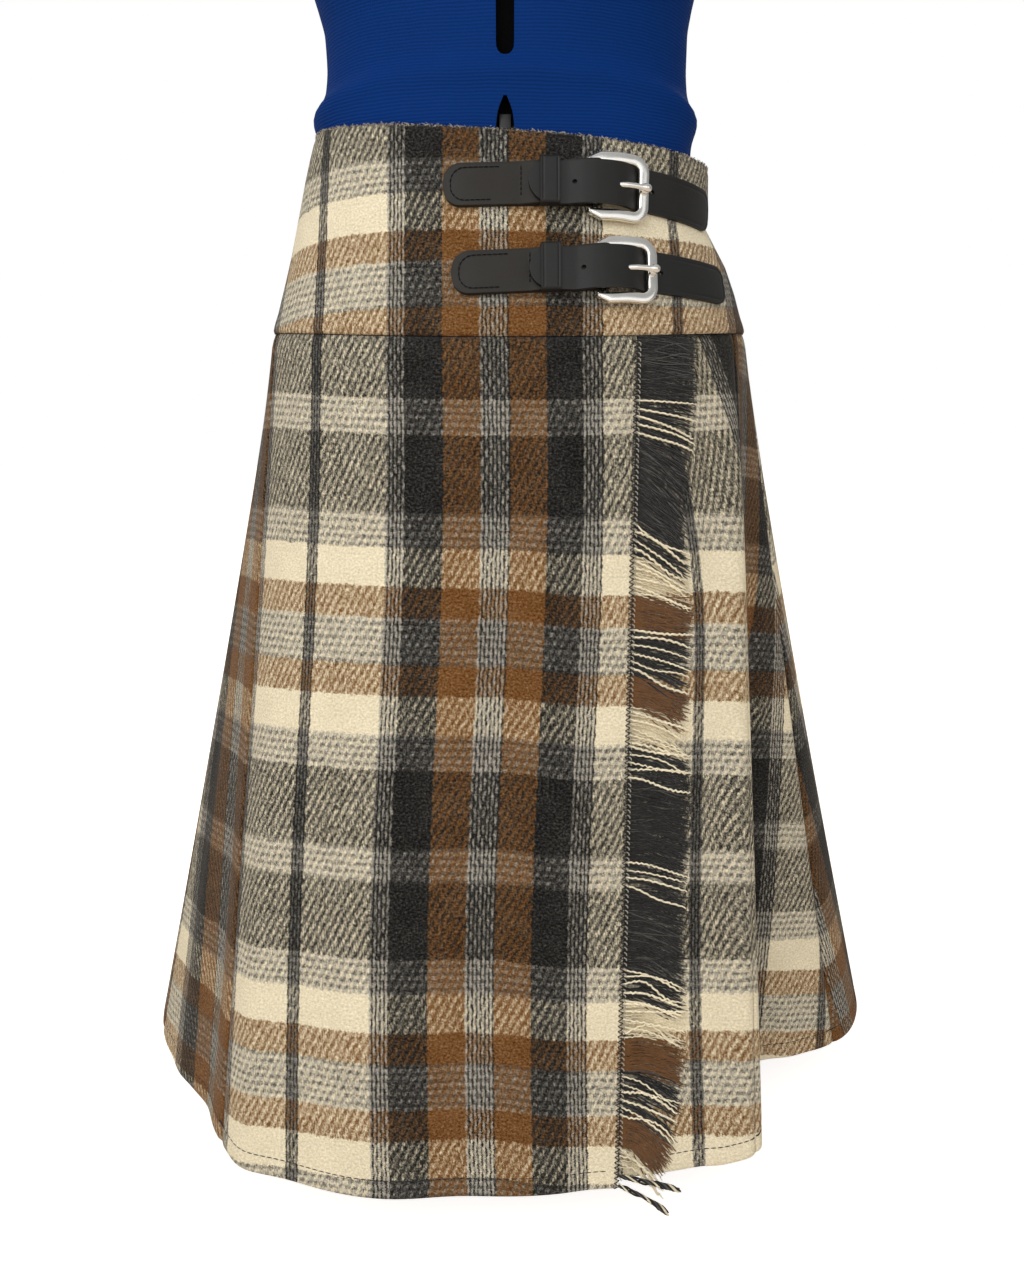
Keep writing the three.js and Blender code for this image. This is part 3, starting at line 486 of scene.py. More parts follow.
class Finish:
    """A material whose nodes are added one after another."""

    def __init__(self, name, roughness, **values):
        self.material = bpy.data.materials.new(name)
        self.material.use_nodes = True
        self.nodes = self.material.node_tree.nodes
        self.links = self.material.node_tree.links
        self.shader = self.nodes["Principled BSDF"]
        self.shader.inputs["Roughness"].default_value = roughness
        for key, value in values.items():
            self.shader.inputs[key.replace("_", " ")].default_value = value

    def feed(self, socket, value):
        """Links a socket to a node's output, or sets its value."""
        if isinstance(value, bpy.types.NodeSocket):
            self.links.new(value, socket)
        else:
            socket.default_value = value

    def math(self, operation, *values):
        node = self.nodes.new("ShaderNodeMath")
        node.operation = operation
        for socket, value in zip(node.inputs, values):
            self.feed(socket, value)
        return node.outputs[0]

    def scaled(self, value, factor, base):
        """A value times a factor, added to a base."""
        return self.math("MULTIPLY_ADD", value, factor, base)

    def centred(self, value):
        """How far a value from 0 to 1 is from a half."""
        return self.math("SUBTRACT", value, 0.5)

    def mix(self, share, first, second, blend="MIX"):
        node = self.nodes.new("ShaderNodeMix")
        node.data_type = "RGBA"
        node.blend_type = blend
        for socket, given in ((0, share), (6, first), (7, second)):
            self.feed(node.inputs[socket], given)
        return node.outputs[2]

    def ramp(self, value, stops, constant=False):
        """Colours by a value, each stop a place and a colour."""
        node = self.nodes.new("ShaderNodeValToRGB")
        node.color_ramp.interpolation = "CONSTANT" if constant else "LINEAR"
        elements = node.color_ramp.elements
        elements[0].position, elements[0].color = stops[0][0], stops[0][1]
        elements.remove(elements[1])
        for position, colour in stops[1:]:
            element = elements.new(position)
            element.color = colour
        self.feed(node.inputs[0], value)
        return node.outputs[0]

    def scatter(self, first, second):
        """A random value for each pair of whole numbers."""
        node = self.nodes.new("ShaderNodeTexWhiteNoise")
        node.noise_dimensions = "2D"
        self.feed(node.inputs["Vector"], self.combine(first, second))
        return node.outputs["Value"]

    def coordinates(self, layer=None):
        """The object's own coordinates, or those of a UV layer."""
        if layer:
            node = self.nodes.new("ShaderNodeUVMap")
            node.uv_map = layer
            return node.outputs[0]
        return self.nodes.new("ShaderNodeTexCoord").outputs["Object"]

    def stretched(self, vector, scale):
        node = self.nodes.new("ShaderNodeMapping")
        self.feed(node.inputs["Vector"], vector)
        node.inputs["Scale"].default_value = scale
        return node.outputs[0]

    def noise(self, vector, scale, detail=2.0, roughness=0.5, colour=False):
        node = self.nodes.new("ShaderNodeTexNoise")
        self.feed(node.inputs["Vector"], vector)
        node.inputs["Scale"].default_value = scale
        node.inputs["Detail"].default_value = detail
        node.inputs["Roughness"].default_value = roughness
        return node.outputs[1 if colour else 0]

    def split(self, vector):
        node = self.nodes.new("ShaderNodeSeparateXYZ")
        self.feed(node.inputs[0], vector)
        return node.outputs

    def combine(self, x, y, z=0.0):
        node = self.nodes.new("ShaderNodeCombineXYZ")
        for socket, value in zip(node.inputs, (x, y, z)):
            self.feed(socket, value)
        return node.outputs[0]

    def grey(self, value):
        """A colour as bright as a number, for multiplying another."""
        return self.combine(value, value, value)

    def bump(self, height, distance, strength):
        """Relief of a height, with its depth in millimetres."""
        node = self.nodes.new("ShaderNodeBump")
        node.inputs["Distance"].default_value = distance * MM
        node.inputs["Strength"].default_value = strength
        self.feed(node.inputs["Height"], height)
        return node.outputs[0]

    def done(self, colour, normal=None):
        """The material, with its colour and relief."""
        self.feed(self.shader.inputs["Base Color"], colour)
        if normal is not None:
            self.feed(self.shader.inputs["Normal"], normal)
        return self.material


# The check, charted in threads from the middle of a stripe outwards; it mirrors at both ends.
# A mixed band lays light and dark threads by turns.
WARP_CHART = (("mixed", 6.5), ("brown", 18), ("charcoal", 18), ("mixed", 10), ("cream", 38),
              ("dark mix", 4))
WEFT_CHART = (("light mix", 6), ("brown", 8), ("cream", 10), ("light mix", 9), ("charcoal", 20),
              ("light mix", 4.5))
MIXED_BANDS = {"mixed": ("charcoal", "flecked"), "light mix": ("white", "ash"),
               "dark mix": ("charcoal", "grey")}
YARNS = ("cream", "white", "flecked", "brown", "charcoal", "grey", "ash")
WEFT_MIDDLE = 175.7        # from the yoke seam down to the middle of the first mirrored band
YOKE_ROWS = 207.0          # where the chart stands at the yoke's bottom edge
YOKE_LENGTH = 122.0        # the yoke's flat height
YOKE_DROOP = 15.0          # how far its rows hang down beside its middle
EYE_GAMMA = 2.2            # between colours as blended by eye and linear ones


def chart_stops(chart, yarns, turn):
    """The bands of a chart as ramp stops, for the first or the second thread of each pair."""
    total = sum(count for _, count in chart)
    stops, passed = [], 0.0
    for band, count in chart:
        pair = MIXED_BANDS.get(band, (band, band))
        stops.append((passed / total, yarns[pair[turn]]))
        passed += count
    return stops, total


def plaid_wool(name, weave):
    """Brushed twill woven thread by thread from the two charts, on the cloth's flat cut. Colours
    are blended by eye, as hairs of both threads lie over each other, and made linear at the end."""
    wool = Finish(name, 0.95, Specular_IOR_Level=0.1, Sheen_Weight=0.1, Sheen_Roughness=0.5,
                  Sheen_Tint=(1.0, 0.95, 0.88, 1.0))
    yarns = {yarn: (*[value ** (1 / EYE_GAMMA) for value in getattr(weave, yarn)], 1)
             for yarn in YARNS}
    end_spacing, pick_spacing = weave.end_spacing / MM, weave.pick_spacing / MM

    # The nap pulls the threads' places about, finely and in slow waves.
    cut = wool.coordinates("cut")
    flat = wool.stretched(cut, (1000, 1000, 1000))
    fuzz = wool.noise(flat, 1.3, 3.0, 0.75, colour=True)
    slow = wool.noise(flat, 0.16, 3.0, 0.6, colour=True)
    threads_at = []
    for axis, (reach, spacing) in enumerate(((1, end_spacing), (1.6, pick_spacing))):
        fine, wide = (wool.centred(wool.split(field)[axis]) for field in (fuzz, slow))
        wander = wool.scaled(fine, weave.nap / MM * reach, wool.math("MULTIPLY", wide, 2.6))
        place = wool.scaled(wool.split(cut)[axis], 1000, wander)
        threads_at.append(wool.math("DIVIDE", place, spacing))
    end, pick = threads_at
    end_number, pick_number = wool.math("FLOOR", end), wool.math("FLOOR", pick)

    def yarn_colour(number, shift, chart):
        place = wool.math("ADD", number, 0.5 - shift)
        (first, total), (second, _) = (chart_stops(chart, yarns, turn) for turn in (0, 1))
        band = wool.math("DIVIDE", wool.math("PINGPONG", place, total), total)
        turn = wool.math("FLOORED_MODULO", number, 2.0)
        return wool.mix(turn, wool.ramp(band, first, True), wool.ramp(band, second, True))

    warp = yarn_colour(end_number, 0.0, WARP_CHART)
    weft = yarn_colour(pick_number, WEFT_MIDDLE / pick_spacing, WEFT_CHART)

    # Each warp thread floats over two picks and dives under two, a step later on the next thread.
    hairs = wool.noise(wool.stretched(cut, (900, 420, 1000)), 1.0, 4.0, 0.8)
    loose = wool.scatter(end_number, pick_number)
    stroke = wool.math("MULTIPLY", wool.math("ADD", end_number, pick), math.pi / 2)
    wave = wool.math("COSINE", wool.math("SUBTRACT", stroke, math.pi / 4))
    paler = wool.math("SUBTRACT", wool.split(weft)[1], wool.split(warp)[1])
    share = wool.scaled(wave, weave.contrast, wool.scaled(paler, 0.25, 0.61))
    share = wool.scaled(wool.centred(hairs), 2.9, share)
    share = wool.scaled(wool.centred(loose), 0.34, share)
    share = wool.math("MINIMUM", wool.math("MAXIMUM", share, 0.03), 0.97)
    colour = wool.mix(share, weft, warp)

    # Hairs of the nap and slow clouds over it, strongest on the dark threads.
    cloud = wool.noise(flat, 0.05, 3.0, 0.6)
    streaks = wool.noise(wool.stretched(cut, (620, 760, 1000)), 1.0, 3.0, 0.8)
    shade = wool.math("MULTIPLY", wool.centred(cloud), 0.16)
    shade = wool.scaled(wool.centred(streaks), 1.0, shade)
    depth = wool.scaled(wool.split(colour)[1], -0.5, 1.0)
    colour = wool.mix(1.0, colour, wool.grey(wool.math("MULTIPLY", shade, depth)), "ADD")
    linear = wool.nodes.new("ShaderNodeGamma")
    linear.inputs["Gamma"].default_value = EYE_GAMMA
    wool.feed(linear.inputs["Color"], wool.mix(1.0, colour, (0.06, 0.06, 0.06, 1), "LIGHTEN"))

    height = wool.math("ADD", hairs, wool.math("MULTIPLY", streaks, 0.6))
    return wool.done(linear.outputs[0], wool.bump(wool.scaled(wave, 0.12, height), 0.5, 0.6))


def yarn_wool(name, colour, spread, sheen=0.25):
    """Loose fuzzy yarn of one colour."""
    yarn = Finish(name, 0.95, Specular_IOR_Level=0.12, Sheen_Weight=sheen, Sheen_Roughness=0.5)
    here = yarn.coordinates()
    streak = yarn.noise(yarn.stretched(here, (480, 480, 900)), 1.0, 3.0, 0.7)
    clump = yarn.noise(here, 240.0, 2.0, 0.5)
    tone = yarn.scaled(streak, spread, 1.0 - spread / 2)
    tone = yarn.scaled(yarn.centred(clump), spread, tone)
    tinted = yarn.mix(1.0, (*colour, 1), yarn.grey(tone), "MULTIPLY")
    return yarn.done(tinted, yarn.bump(streak, 0.25, 0.6))


def shaded(colour, factor=1.0, lift=0.0):
    """A colour made darker or paler, with its alpha."""
    return (*[channel * factor + lift for channel in colour], 1)


def leather(name, colour, gloss):
    """Smooth dyed leather with pores and fine wrinkles."""
    hide = Finish(name, 0.5, Specular_IOR_Level=0.34)
    here = hide.coordinates()
    pores = hide.nodes.new("ShaderNodeTexVoronoi")
    pores.feature = "DISTANCE_TO_EDGE"
    hide.feed(pores.inputs["Vector"], here)
    pores.inputs["Scale"].default_value = 900.0
    grain = hide.ramp(pores.outputs[0], ((0.0, (0, 0, 0, 1)), (0.25, (1, 1, 1, 1))))
    patches = hide.noise(here, 60.0, 4.0, 0.6)
    fine = hide.noise(here, 1400.0, 2.0, 0.6)
    tone = hide.scaled(patches, 0.7, 0.65)
    tone = hide.scaled(fine, 0.3, hide.math("SUBTRACT", tone, 0.15))
    dyed = hide.mix(1.0, (*colour, 1), hide.grey(tone), "MULTIPLY")
    hide.feed(hide.shader.inputs["Roughness"], hide.scaled(patches, 0.3, gloss))
    height = hide.scaled(fine, 0.4, hide.math("MULTIPLY", grain, 0.5))
    return hide.done(dyed, hide.bump(height, 0.09, 0.5))


def nickel(name, trim):
    """Polished plate with faint handling marks."""
    metal = Finish(name, 0.16, Metallic=1.0)
    here = metal.coordinates()
    marks = metal.noise(metal.stretched(here, (300, 300, 2400)), 1.0, 3.0, 0.6)
    smear = metal.noise(here, 90.0, 3.0, 0.5)
    metal.feed(metal.shader.inputs["Roughness"],
               metal.scaled(smear, 0.16, metal.scaled(marks, 0.06, 0.05)))
    tint = metal.ramp(smear, ((0.3, shaded(trim.metal, 0.95)), (0.7, shaded(trim.metal))))
    return metal.done(tint, metal.bump(marks, 0.02, 0.25))


def ribbed_knit(name, form):
    """Fine ribs of a matt knit, running round the form."""
    knit = Finish(name, 0.72, Specular_IOR_Level=0.05, Sheen_Weight=0.0)
    here = knit.coordinates()
    bend = knit.noise(here, 22.0, 2.0, 0.5)
    height = knit.scaled(knit.centred(bend), 0.004, knit.split(here)[2])
    rib = knit.math("SINE", knit.math("MULTIPLY", height, 2 * math.pi / form.rib_pitch))
    loops = knit.noise(knit.stretched(here, (900, 900, 2200)), 1.0, 2.0, 0.6)
    patches = knit.noise(here, 9.0, 3.0, 0.5)
    # The colour follows the ribs' height: a painted shade in the grooves between them, on top of
    # their relief.
    tone = knit.scaled(loops, 0.3, knit.scaled(rib, 0.1, 0.84))
    tone = knit.scaled(knit.centred(patches), 0.3, tone)
    dyed = knit.mix(1.0, (*form.knit, 1), knit.grey(tone), "MULTIPLY")
    relief = knit.scaled(loops, 0.6, knit.math("MULTIPLY", rib, 0.5))
    return knit.done(dyed, knit.bump(relief, 0.3, 0.6))


def moulded(name, colour, rough, grain=0.03):
    """Moulded plastic or powder coat: an even colour broken by a fine grain and dust."""
    coat = Finish(name, rough, Specular_IOR_Level=0.45)
    here = coat.coordinates()
    fine = coat.noise(here, 1500.0, 2.0, 0.5)
    dust = coat.noise(here, 35.0, 4.0, 0.6)
    tinted = coat.ramp(dust, ((0.35, shaded(colour)), (0.8, shaded(colour, 1.5, 0.004))))
    coat.feed(coat.shader.inputs["Roughness"], coat.scaled(dust, 0.25, rough - 0.12))
    return coat.done(tinted, coat.bump(fine, grain, 0.5))


def pale_stage(name, colour):
    """The floor, which the camera sees nearly white."""
    floor = Finish(name, 0.9, Specular_IOR_Level=0.1, Emission_Color=(1.0, 1.0, 1.0, 1))
    seen = floor.nodes.new("ShaderNodeLightPath").outputs["Is Camera Ray"]
    floor.feed(floor.shader.inputs["Emission Strength"], floor.math("MULTIPLY", seen, 0.84))
    cloud = floor.noise(floor.coordinates(), 1.5, 2.0, 0.5)
    tint = floor.ramp(cloud, ((0.3, shaded(colour, 0.985)), (0.7, shaded(colour))))
    return floor.done(tint)


def made(name, make, *values):
    """A material made once and shared by the pieces that use it."""
    return bpy.data.materials.get(name) or make(name, *values)


def plaid(weave):
    """The skirt's one cloth."""
    return made("brushed_plaid", plaid_wool, weave)


def yarn_of(tone, colour):
    """The loose yarn of one of the weave's tones."""
    return made(f"{tone}_yarn", yarn_wool, tuple(colour), 0.7)


# ---------------------------------------------------------------- settings


class WeaveSettings(bpy.types.PropertyGroup):
    """The cloth's threads and colours."""

    end_spacing: bpy.props.FloatProperty(
        name="End spacing", description="Width of one warp thread",
        default=0.0012, min=0.0004, max=0.005, precision=5, unit="LENGTH")
    pick_spacing: bpy.props.FloatProperty(
        name="Pick spacing", description="Height of one weft thread",
        default=0.002246, min=0.0005, max=0.006, precision=6, unit="LENGTH")
    nap: bpy.props.FloatProperty(
        name="Nap", description="How far the brushed hairs blur a thread's edge",
        default=0.0036, min=0.0, max=0.006, precision=5, unit="LENGTH")
    thickness: bpy.props.FloatProperty(
        name="Cloth thickness", description="Thickness of the wool cloth",
        default=0.0022, min=0.001, max=0.003, precision=4, unit="LENGTH")
    contrast: bpy.props.FloatProperty(
        name="Contrast", description="How far a float shows over the threads it crosses",
        default=0.26, min=0.0, max=0.5, precision=2)
    cream: bpy.props.FloatVectorProperty(
        name="Cream", description="Cream yarn", subtype="COLOR", default=(0.87, 0.775, 0.56))
    white: bpy.props.FloatVectorProperty(
        name="White", description="Light yarn of the mixed rows",
        subtype="COLOR", default=(0.35, 0.33, 0.285))
    flecked: bpy.props.FloatVectorProperty(
        name="Flecked", description="Light yarn of the mixed stripes",
        subtype="COLOR", default=(0.42, 0.39, 0.33))
    brown: bpy.props.FloatVectorProperty(
        name="Brown", description="Brown yarn", subtype="COLOR", default=(0.172, 0.076, 0.0225))
    charcoal: bpy.props.FloatVectorProperty(
        name="Charcoal", description="Charcoal yarn",
        subtype="COLOR", default=(0.0165, 0.016, 0.0145))
    grey: bpy.props.FloatVectorProperty(
        name="Grey", description="Grey yarn of the thin stripe",
        subtype="COLOR", default=(0.16, 0.15, 0.13))
    ash: bpy.props.FloatVectorProperty(
        name="Ash", description="Dark yarn of the mixed rows",
        subtype="COLOR", default=(0.092, 0.088, 0.08))


class TrimSettings(bpy.types.PropertyGroup):
    """Fringe, thread, leather and metal."""

    yarn_radius: bpy.props.FloatProperty(
        name="Yarn radius", description="Radius of a fringe yarn",
        default=0.00042, min=0.0001, max=0.002, precision=5, unit="LENGTH")
    thread_radius: bpy.props.FloatProperty(
        name="Thread radius", description="Radius of the sewing thread",
        default=0.00022, min=0.0001, max=0.001, precision=5, unit="LENGTH")
    tab_hide: bpy.props.FloatVectorProperty(
        name="Tab leather", description="Leather of the sewn tabs",
        subtype="COLOR", default=(0.015, 0.0122, 0.0085))
    strap_hide: bpy.props.FloatVectorProperty(
        name="Strap leather", description="Leather of the straps",
        subtype="COLOR", default=(0.0115, 0.0112, 0.0108))
    metal: bpy.props.FloatVectorProperty(
        name="Metal", description="Plate of the buckles",
        subtype="COLOR", default=(0.95, 0.93, 0.88))


class FormSettings(bpy.types.PropertyGroup):
    """The dress form and its stand."""

    rib_pitch: bpy.props.FloatProperty(
        name="Rib pitch", description="Height of one rib of the knit cover",
        default=0.0019, min=0.0008, max=0.01, precision=5, unit="LENGTH")
    knit: bpy.props.FloatVectorProperty(
        name="Knit", description="Colour of the knit cover",
        subtype="COLOR", default=(0.0022, 0.03, 0.165))


class StageSettings(bpy.types.PropertyGroup):
    """Camera, light and floor."""

    lens: bpy.props.FloatProperty(
        name="Lens", description="Focal length", default=29.36, min=10, max=200, unit="CAMERA")
    tilt: bpy.props.FloatProperty(
        name="Tilt", description="How far the camera looks down",
        default=math.radians(13.6), subtype="ANGLE")
    key: bpy.props.FloatProperty(
        name="Key light", description="Power of the main light", default=12.5, min=0, unit="POWER")
    fill: bpy.props.FloatProperty(
        name="Fill light", description="Power of the fill light", default=9.5, min=0, unit="POWER")
    ambient: bpy.props.FloatProperty(
        name="Ambient", description="Strength of the light from all round", default=0.58, min=0)
    floor: bpy.props.FloatVectorProperty(
        name="Floor", description="Colour of the floor",
        subtype="COLOR", default=(0.8, 0.68, 0.56))


SETTINGS = {"skirt_weave": WeaveSettings, "skirt_trim": TrimSettings,
            "skirt_form": FormSettings, "skirt_stage": StageSettings}

# ---------------------------------------------------------------- cloth

SEAM_ROLL = 2.6            # how far from a seam the cloth begins to roll in
PANEL_ROWS = 130
HALF_CHECK = 113.4         # half the check's width, as woven
HALF_CHECK_LEFT, HALF_CHECK_RIGHT = 115.5, 111.8   # and as it hangs beside the front's middle
ROW_DROP = 30.0            # how far the rows hang down by the front's side seams
FRONT_TURN = 20.0          # how far the front's threads run on past its right seam

# A flared panel's chart: its flat length, the share across where the threads run straight, and
# where it begins, across from the middle stripe.
SIDE_LEFT_CHART = (504.0, 0.0, -29.4)
SIDE_RIGHT_CHART = (512.0, 0.0, -29.4)
BACK_CHART = (500.0, 0.5, -15.4)
SIDE_RIGHT_DROP, BACK_DROP = 36.0, 15.6            # how far its rows hang down
BACK_AT_SEAM = (SEAM_LINE.girth - FRONT_LEFT - FRONT_RIGHT - 2 * SIDE_AT_SEAM) / 2
BACK_AT_HEM = (BACK_TO - BACK_FROM) / 2
HEM_ROWS = 488             # where the chart stands on the turned-up edge


def rolled(distance):
    """How far cloth rolls in at a distance from a seam."""
    return 1.5 * np.exp(-(np.maximum(distance, 0) / SEAM_ROLL) ** 2)


def row_drop(level):
    """How far the rows hang down beside the middle of the front, by the side seams."""
    return ROW_DROP * (1 - np.exp(-(level / 0.4) ** 1.5))


def front_cut(along, level, drift=0.0):
    """The straight-cut front's own measures: across from the middle stripe, and down."""
    stretch = np.where(along < 0, HALF_CHECK / HALF_CHECK_LEFT, HALF_CHECK / HALF_CHECK_RIGHT)
    top, hem = (panel_point(along, np.full_like(along, end)) for end in (0, 1))
    length = np.linalg.norm(hem - top, axis=1)
    sway = 2.7 * np.sin(2 * math.pi * (level + 0.03))
    right = 5.0 * smooth(level, 0.1, 0.35) * smooth(along, 0.0, 60.0)
    down = length * level - row_drop(level) * (along / FRONT_LEFT) ** 2 - right
    return np.column_stack([(along - sway - drift) * stretch, down])


def underlap_cut(along, level):
    """The underlap's cut. Its grain swings out from under the yoke, then runs straight, and is
    eased in at the right seam."""
    drift = 22.7 - 50.0 * np.maximum(0, 1 - level / 0.4) ** 2
    cut = front_cut(along, level, drift)
    cut[:, 0] -= 6.0 * smooth(level, 0.1, 0.3) * np.exp(-((along - FRONT_RIGHT) / 16.0) ** 2)
    return cut


def gore_cut(share, level, widths, chart, drop):
    """A flared panel's own measures, where share runs across from its first edge."""
    top_width, hem_width = widths
    length, grain, start = chart
    spread = (hem_width - top_width) / length
    top_radius = top_width / spread
    radius = top_radius + length * level
    angle = (share - grain) * spread
    down = radius * np.cos(angle) - top_radius - drop
    return np.column_stack([start + radius * np.sin(angle), down])


def side_left_cut(share, along, level):
    """The left side panel's cut, straight along its front seam."""
    widths = SIDE_AT_SEAM, SIDE_AT_HEM["left"]
    return gore_cut(1 - share, level, widths, SIDE_LEFT_CHART, row_drop(level))


def side_right_cut(share, along, level):
    """The right side panel's cut, stretched a little over the fold behind the front corner. The
    front's own threads run on round that corner."""
    widths = SIDE_AT_SEAM, SIDE_AT_HEM["right"]
    cut = gore_cut(share, level, widths, SIDE_RIGHT_CHART, SIDE_RIGHT_DROP)
    cut[:, 0] += 11.0 * smooth(level, 0.3, 0.45) * np.exp(-((cut[:, 0] - 17.0) / 14.0) ** 2)
    turned_in = along < FRONT_RIGHT + FRONT_TURN
    cut[turned_in] = underlap_cut(along, level)[turned_in]
    return cut


def back_cut(share, along, level):
    """Half the back's cut, straight down its middle."""
    return gore_cut(share, level, (BACK_AT_SEAM, BACK_AT_HEM), BACK_CHART, BACK_DROP)


def panel_rows(down):
    """Rows crowd together at the hem, where the cloth turns under."""
    return np.interp(down, [0, 0.9, 1], [0, 0.982, 1])


def hem_turn(down):
    """The fold at the hem's edge and the slight dent along its stitches."""
    above = (1 - down) * CLOTH_LENGTH
    edge = np.clip(1 - above / 2.4, 0, 1)
    dent = 0.8 * np.exp(-((above - HEM_STITCH) / 1.8) ** 2)
    return 1.1 * (1 - np.sqrt(1 - edge ** 2)) + dent


def make_panel(name, start, end, columns, cut, weave, node, sink=None, seams=(True, True)):
    """One panel between two places along the hem, of which the second may change on the way down.
    Seams says which of its two edges roll in."""

    def spot(across, down):
        level = panel_rows(down)
        low = start + SEAM_GAP
        high = (end(level) if callable(end) else end) - SEAM_GAP
        return low + (high - low) * across, level, low, high

    def place(across, down):
        along, level, low, high = spot(across, down)
        inset = 1.5 * np.exp(-(level * CLOTH_LENGTH / 4.0) ** 2) + hem_turn(level)
        for seam, distance in zip(seams, (along - low, high - along)):
            if seam:
                inset = inset + rolled(distance) * 0.8
        if sink:
            inset = inset + sink(along, level)
        return panel_face(along, level, inset)

    def flat(across, down):
        along, level, *_ = spot(across, down)
        return cut(across, along, level)

    piece = grid(name, columns, PANEL_ROWS, place, flat, plaid(weave))
    thicken(piece, weave.thickness / MM)
    return keep(piece, "plaid_wool", node)


class SKIRT_OT_yoke(bpy.types.Operator):
    """Makes the hip yoke's front and back"""

    bl_idname = "skirt.yoke"
    bl_label = "Hip Yoke"

    def execute(self, context):
        weave = context.scene.skirt_weave
        top, bottom = TOP_HEIGHT, SEAM_HEIGHT + 0.3
        heights = np.linspace(SEAM_HEIGHT, TOP_HEIGHT, 60)
        outlines = [yoke_outline(h) for h in heights]
        quarter = OUTLINE_STEPS // 4
        for name, front in (("yoke_front_cloth", True), ("yoke_back_cloth", False)):
            left = np.array([line.distance_to(quarter) for line in outlines])
            right = np.array([line.distance_to(3 * quarter) for line in outlines])
            if front:
                first, last = left, right
            else:
                first, last = right, left + np.array([line.girth for line in outlines])

            def spot(across, down):
                height = top + (bottom - top) * down
                low = np.interp(height, heights, first) + SEAM_GAP
                high = np.interp(height, heights, last) - SEAM_GAP
                return height, low + (high - low) * across, low, high

            def place(across, down):
                height, along, low, high = spot(across, down)
                level = (height - heights[0]) / (heights[1] - heights[0])
                index = np.clip(level.astype(int), 0, len(heights) - 2)
                share = (level - index)[:, None]
                points = np.empty((len(height), 3))
                before, after = np.empty_like(points), np.empty_like(points)
                for i in np.unique(index):
                    rows = index == i
                    for target, step in ((points, 0), (before, -4), (after, 4)):
                        under, over = (line.at(along[rows] + step) for line in outlines[i:i + 2])
                        target[rows] = under + (over - under) * share[rows]
                above = height - bottom
                inset = 0.9 * np.clip(1 - above / 1.6, 0, 1) ** 2
                inset -= 0.5 * np.exp(-((above - 5) / 5) ** 2)
                inset += (0.7 * smooth(height, top - 5, top) + rolled(along - low) * 0.6
                          + rolled(high - along) * 0.6)
                ripple = 0.35 * np.sin(along / 9.0) * smooth(height, top - 14, top)
                return points - plan_normal(before, after) * (inset + ripple)[:, None]

            def cut(across, down):
                height, along, low, high = spot(across, down)
                rise = (height - SEAM_HEIGHT) * YOKE_LENGTH / (TOP_HEIGHT - SEAM_HEIGHT)
                from_middle = along - (0.0 if front else (low + high) / 2)
                aside = np.minimum(from_middle, 0.0) if front else from_middle
                row = YOKE_ROWS - rise * 1.015 - YOKE_DROOP * (aside / 170.0) ** 2
                return np.column_stack([from_middle - CENTRE_AT_SEAM, row])

            piece = grid(name, 210, 64, place, cut, plaid(weave))
            thicken(piece, weave.thickness / MM)
            keep(piece, "plaid_wool", "yoke_front" if front else "yoke_back")
            keep(self.fuzz(f"{name}_fuzz", place, weave), "plaid_wool")
        return {"FINISHED"}

    def fuzz(self, name, place, weave, count=2300):
        """Hairs of the nap standing off the top edge."""
        rng = np.random.default_rng(7)
        across, down = rng.uniform(0, 1, count), rng.uniform(0, 0.012, count)
        root = place(across, down)
        along = place(across + 0.004, down) - root
        along /= np.linalg.norm(along, axis=1, keepdims=True)
        out = np.cross(along, (0.0, 0.0, 1.0))
        lean, curl = rng.normal(0, 0.9, (2, count, 1))
        length = rng.uniform(0.5, 1.5, (count, 1)) * rng.uniform(0.6, 1.2, (count, 1))
        steps = []
        for t in (0.0, 0.5, 1.0):
            side = lean * t + curl * t * t
            way = along * side + (0, 0, t) + out * t * t * 0.8
            steps.append(root - out * 0.7 + length * way)
        paths = np.stack(steps, axis=1)
        dark, pale = (yarn_of(tone, getattr(weave, tone)) for tone in ("charcoal", "cream"))
        share = rng.uniform(0, 1, count) < 0.6
        return join(name, [threads(name, paths[share], 0.11, dark),
                           threads(f"{name}_pale", paths[~share], 0.1, pale)])


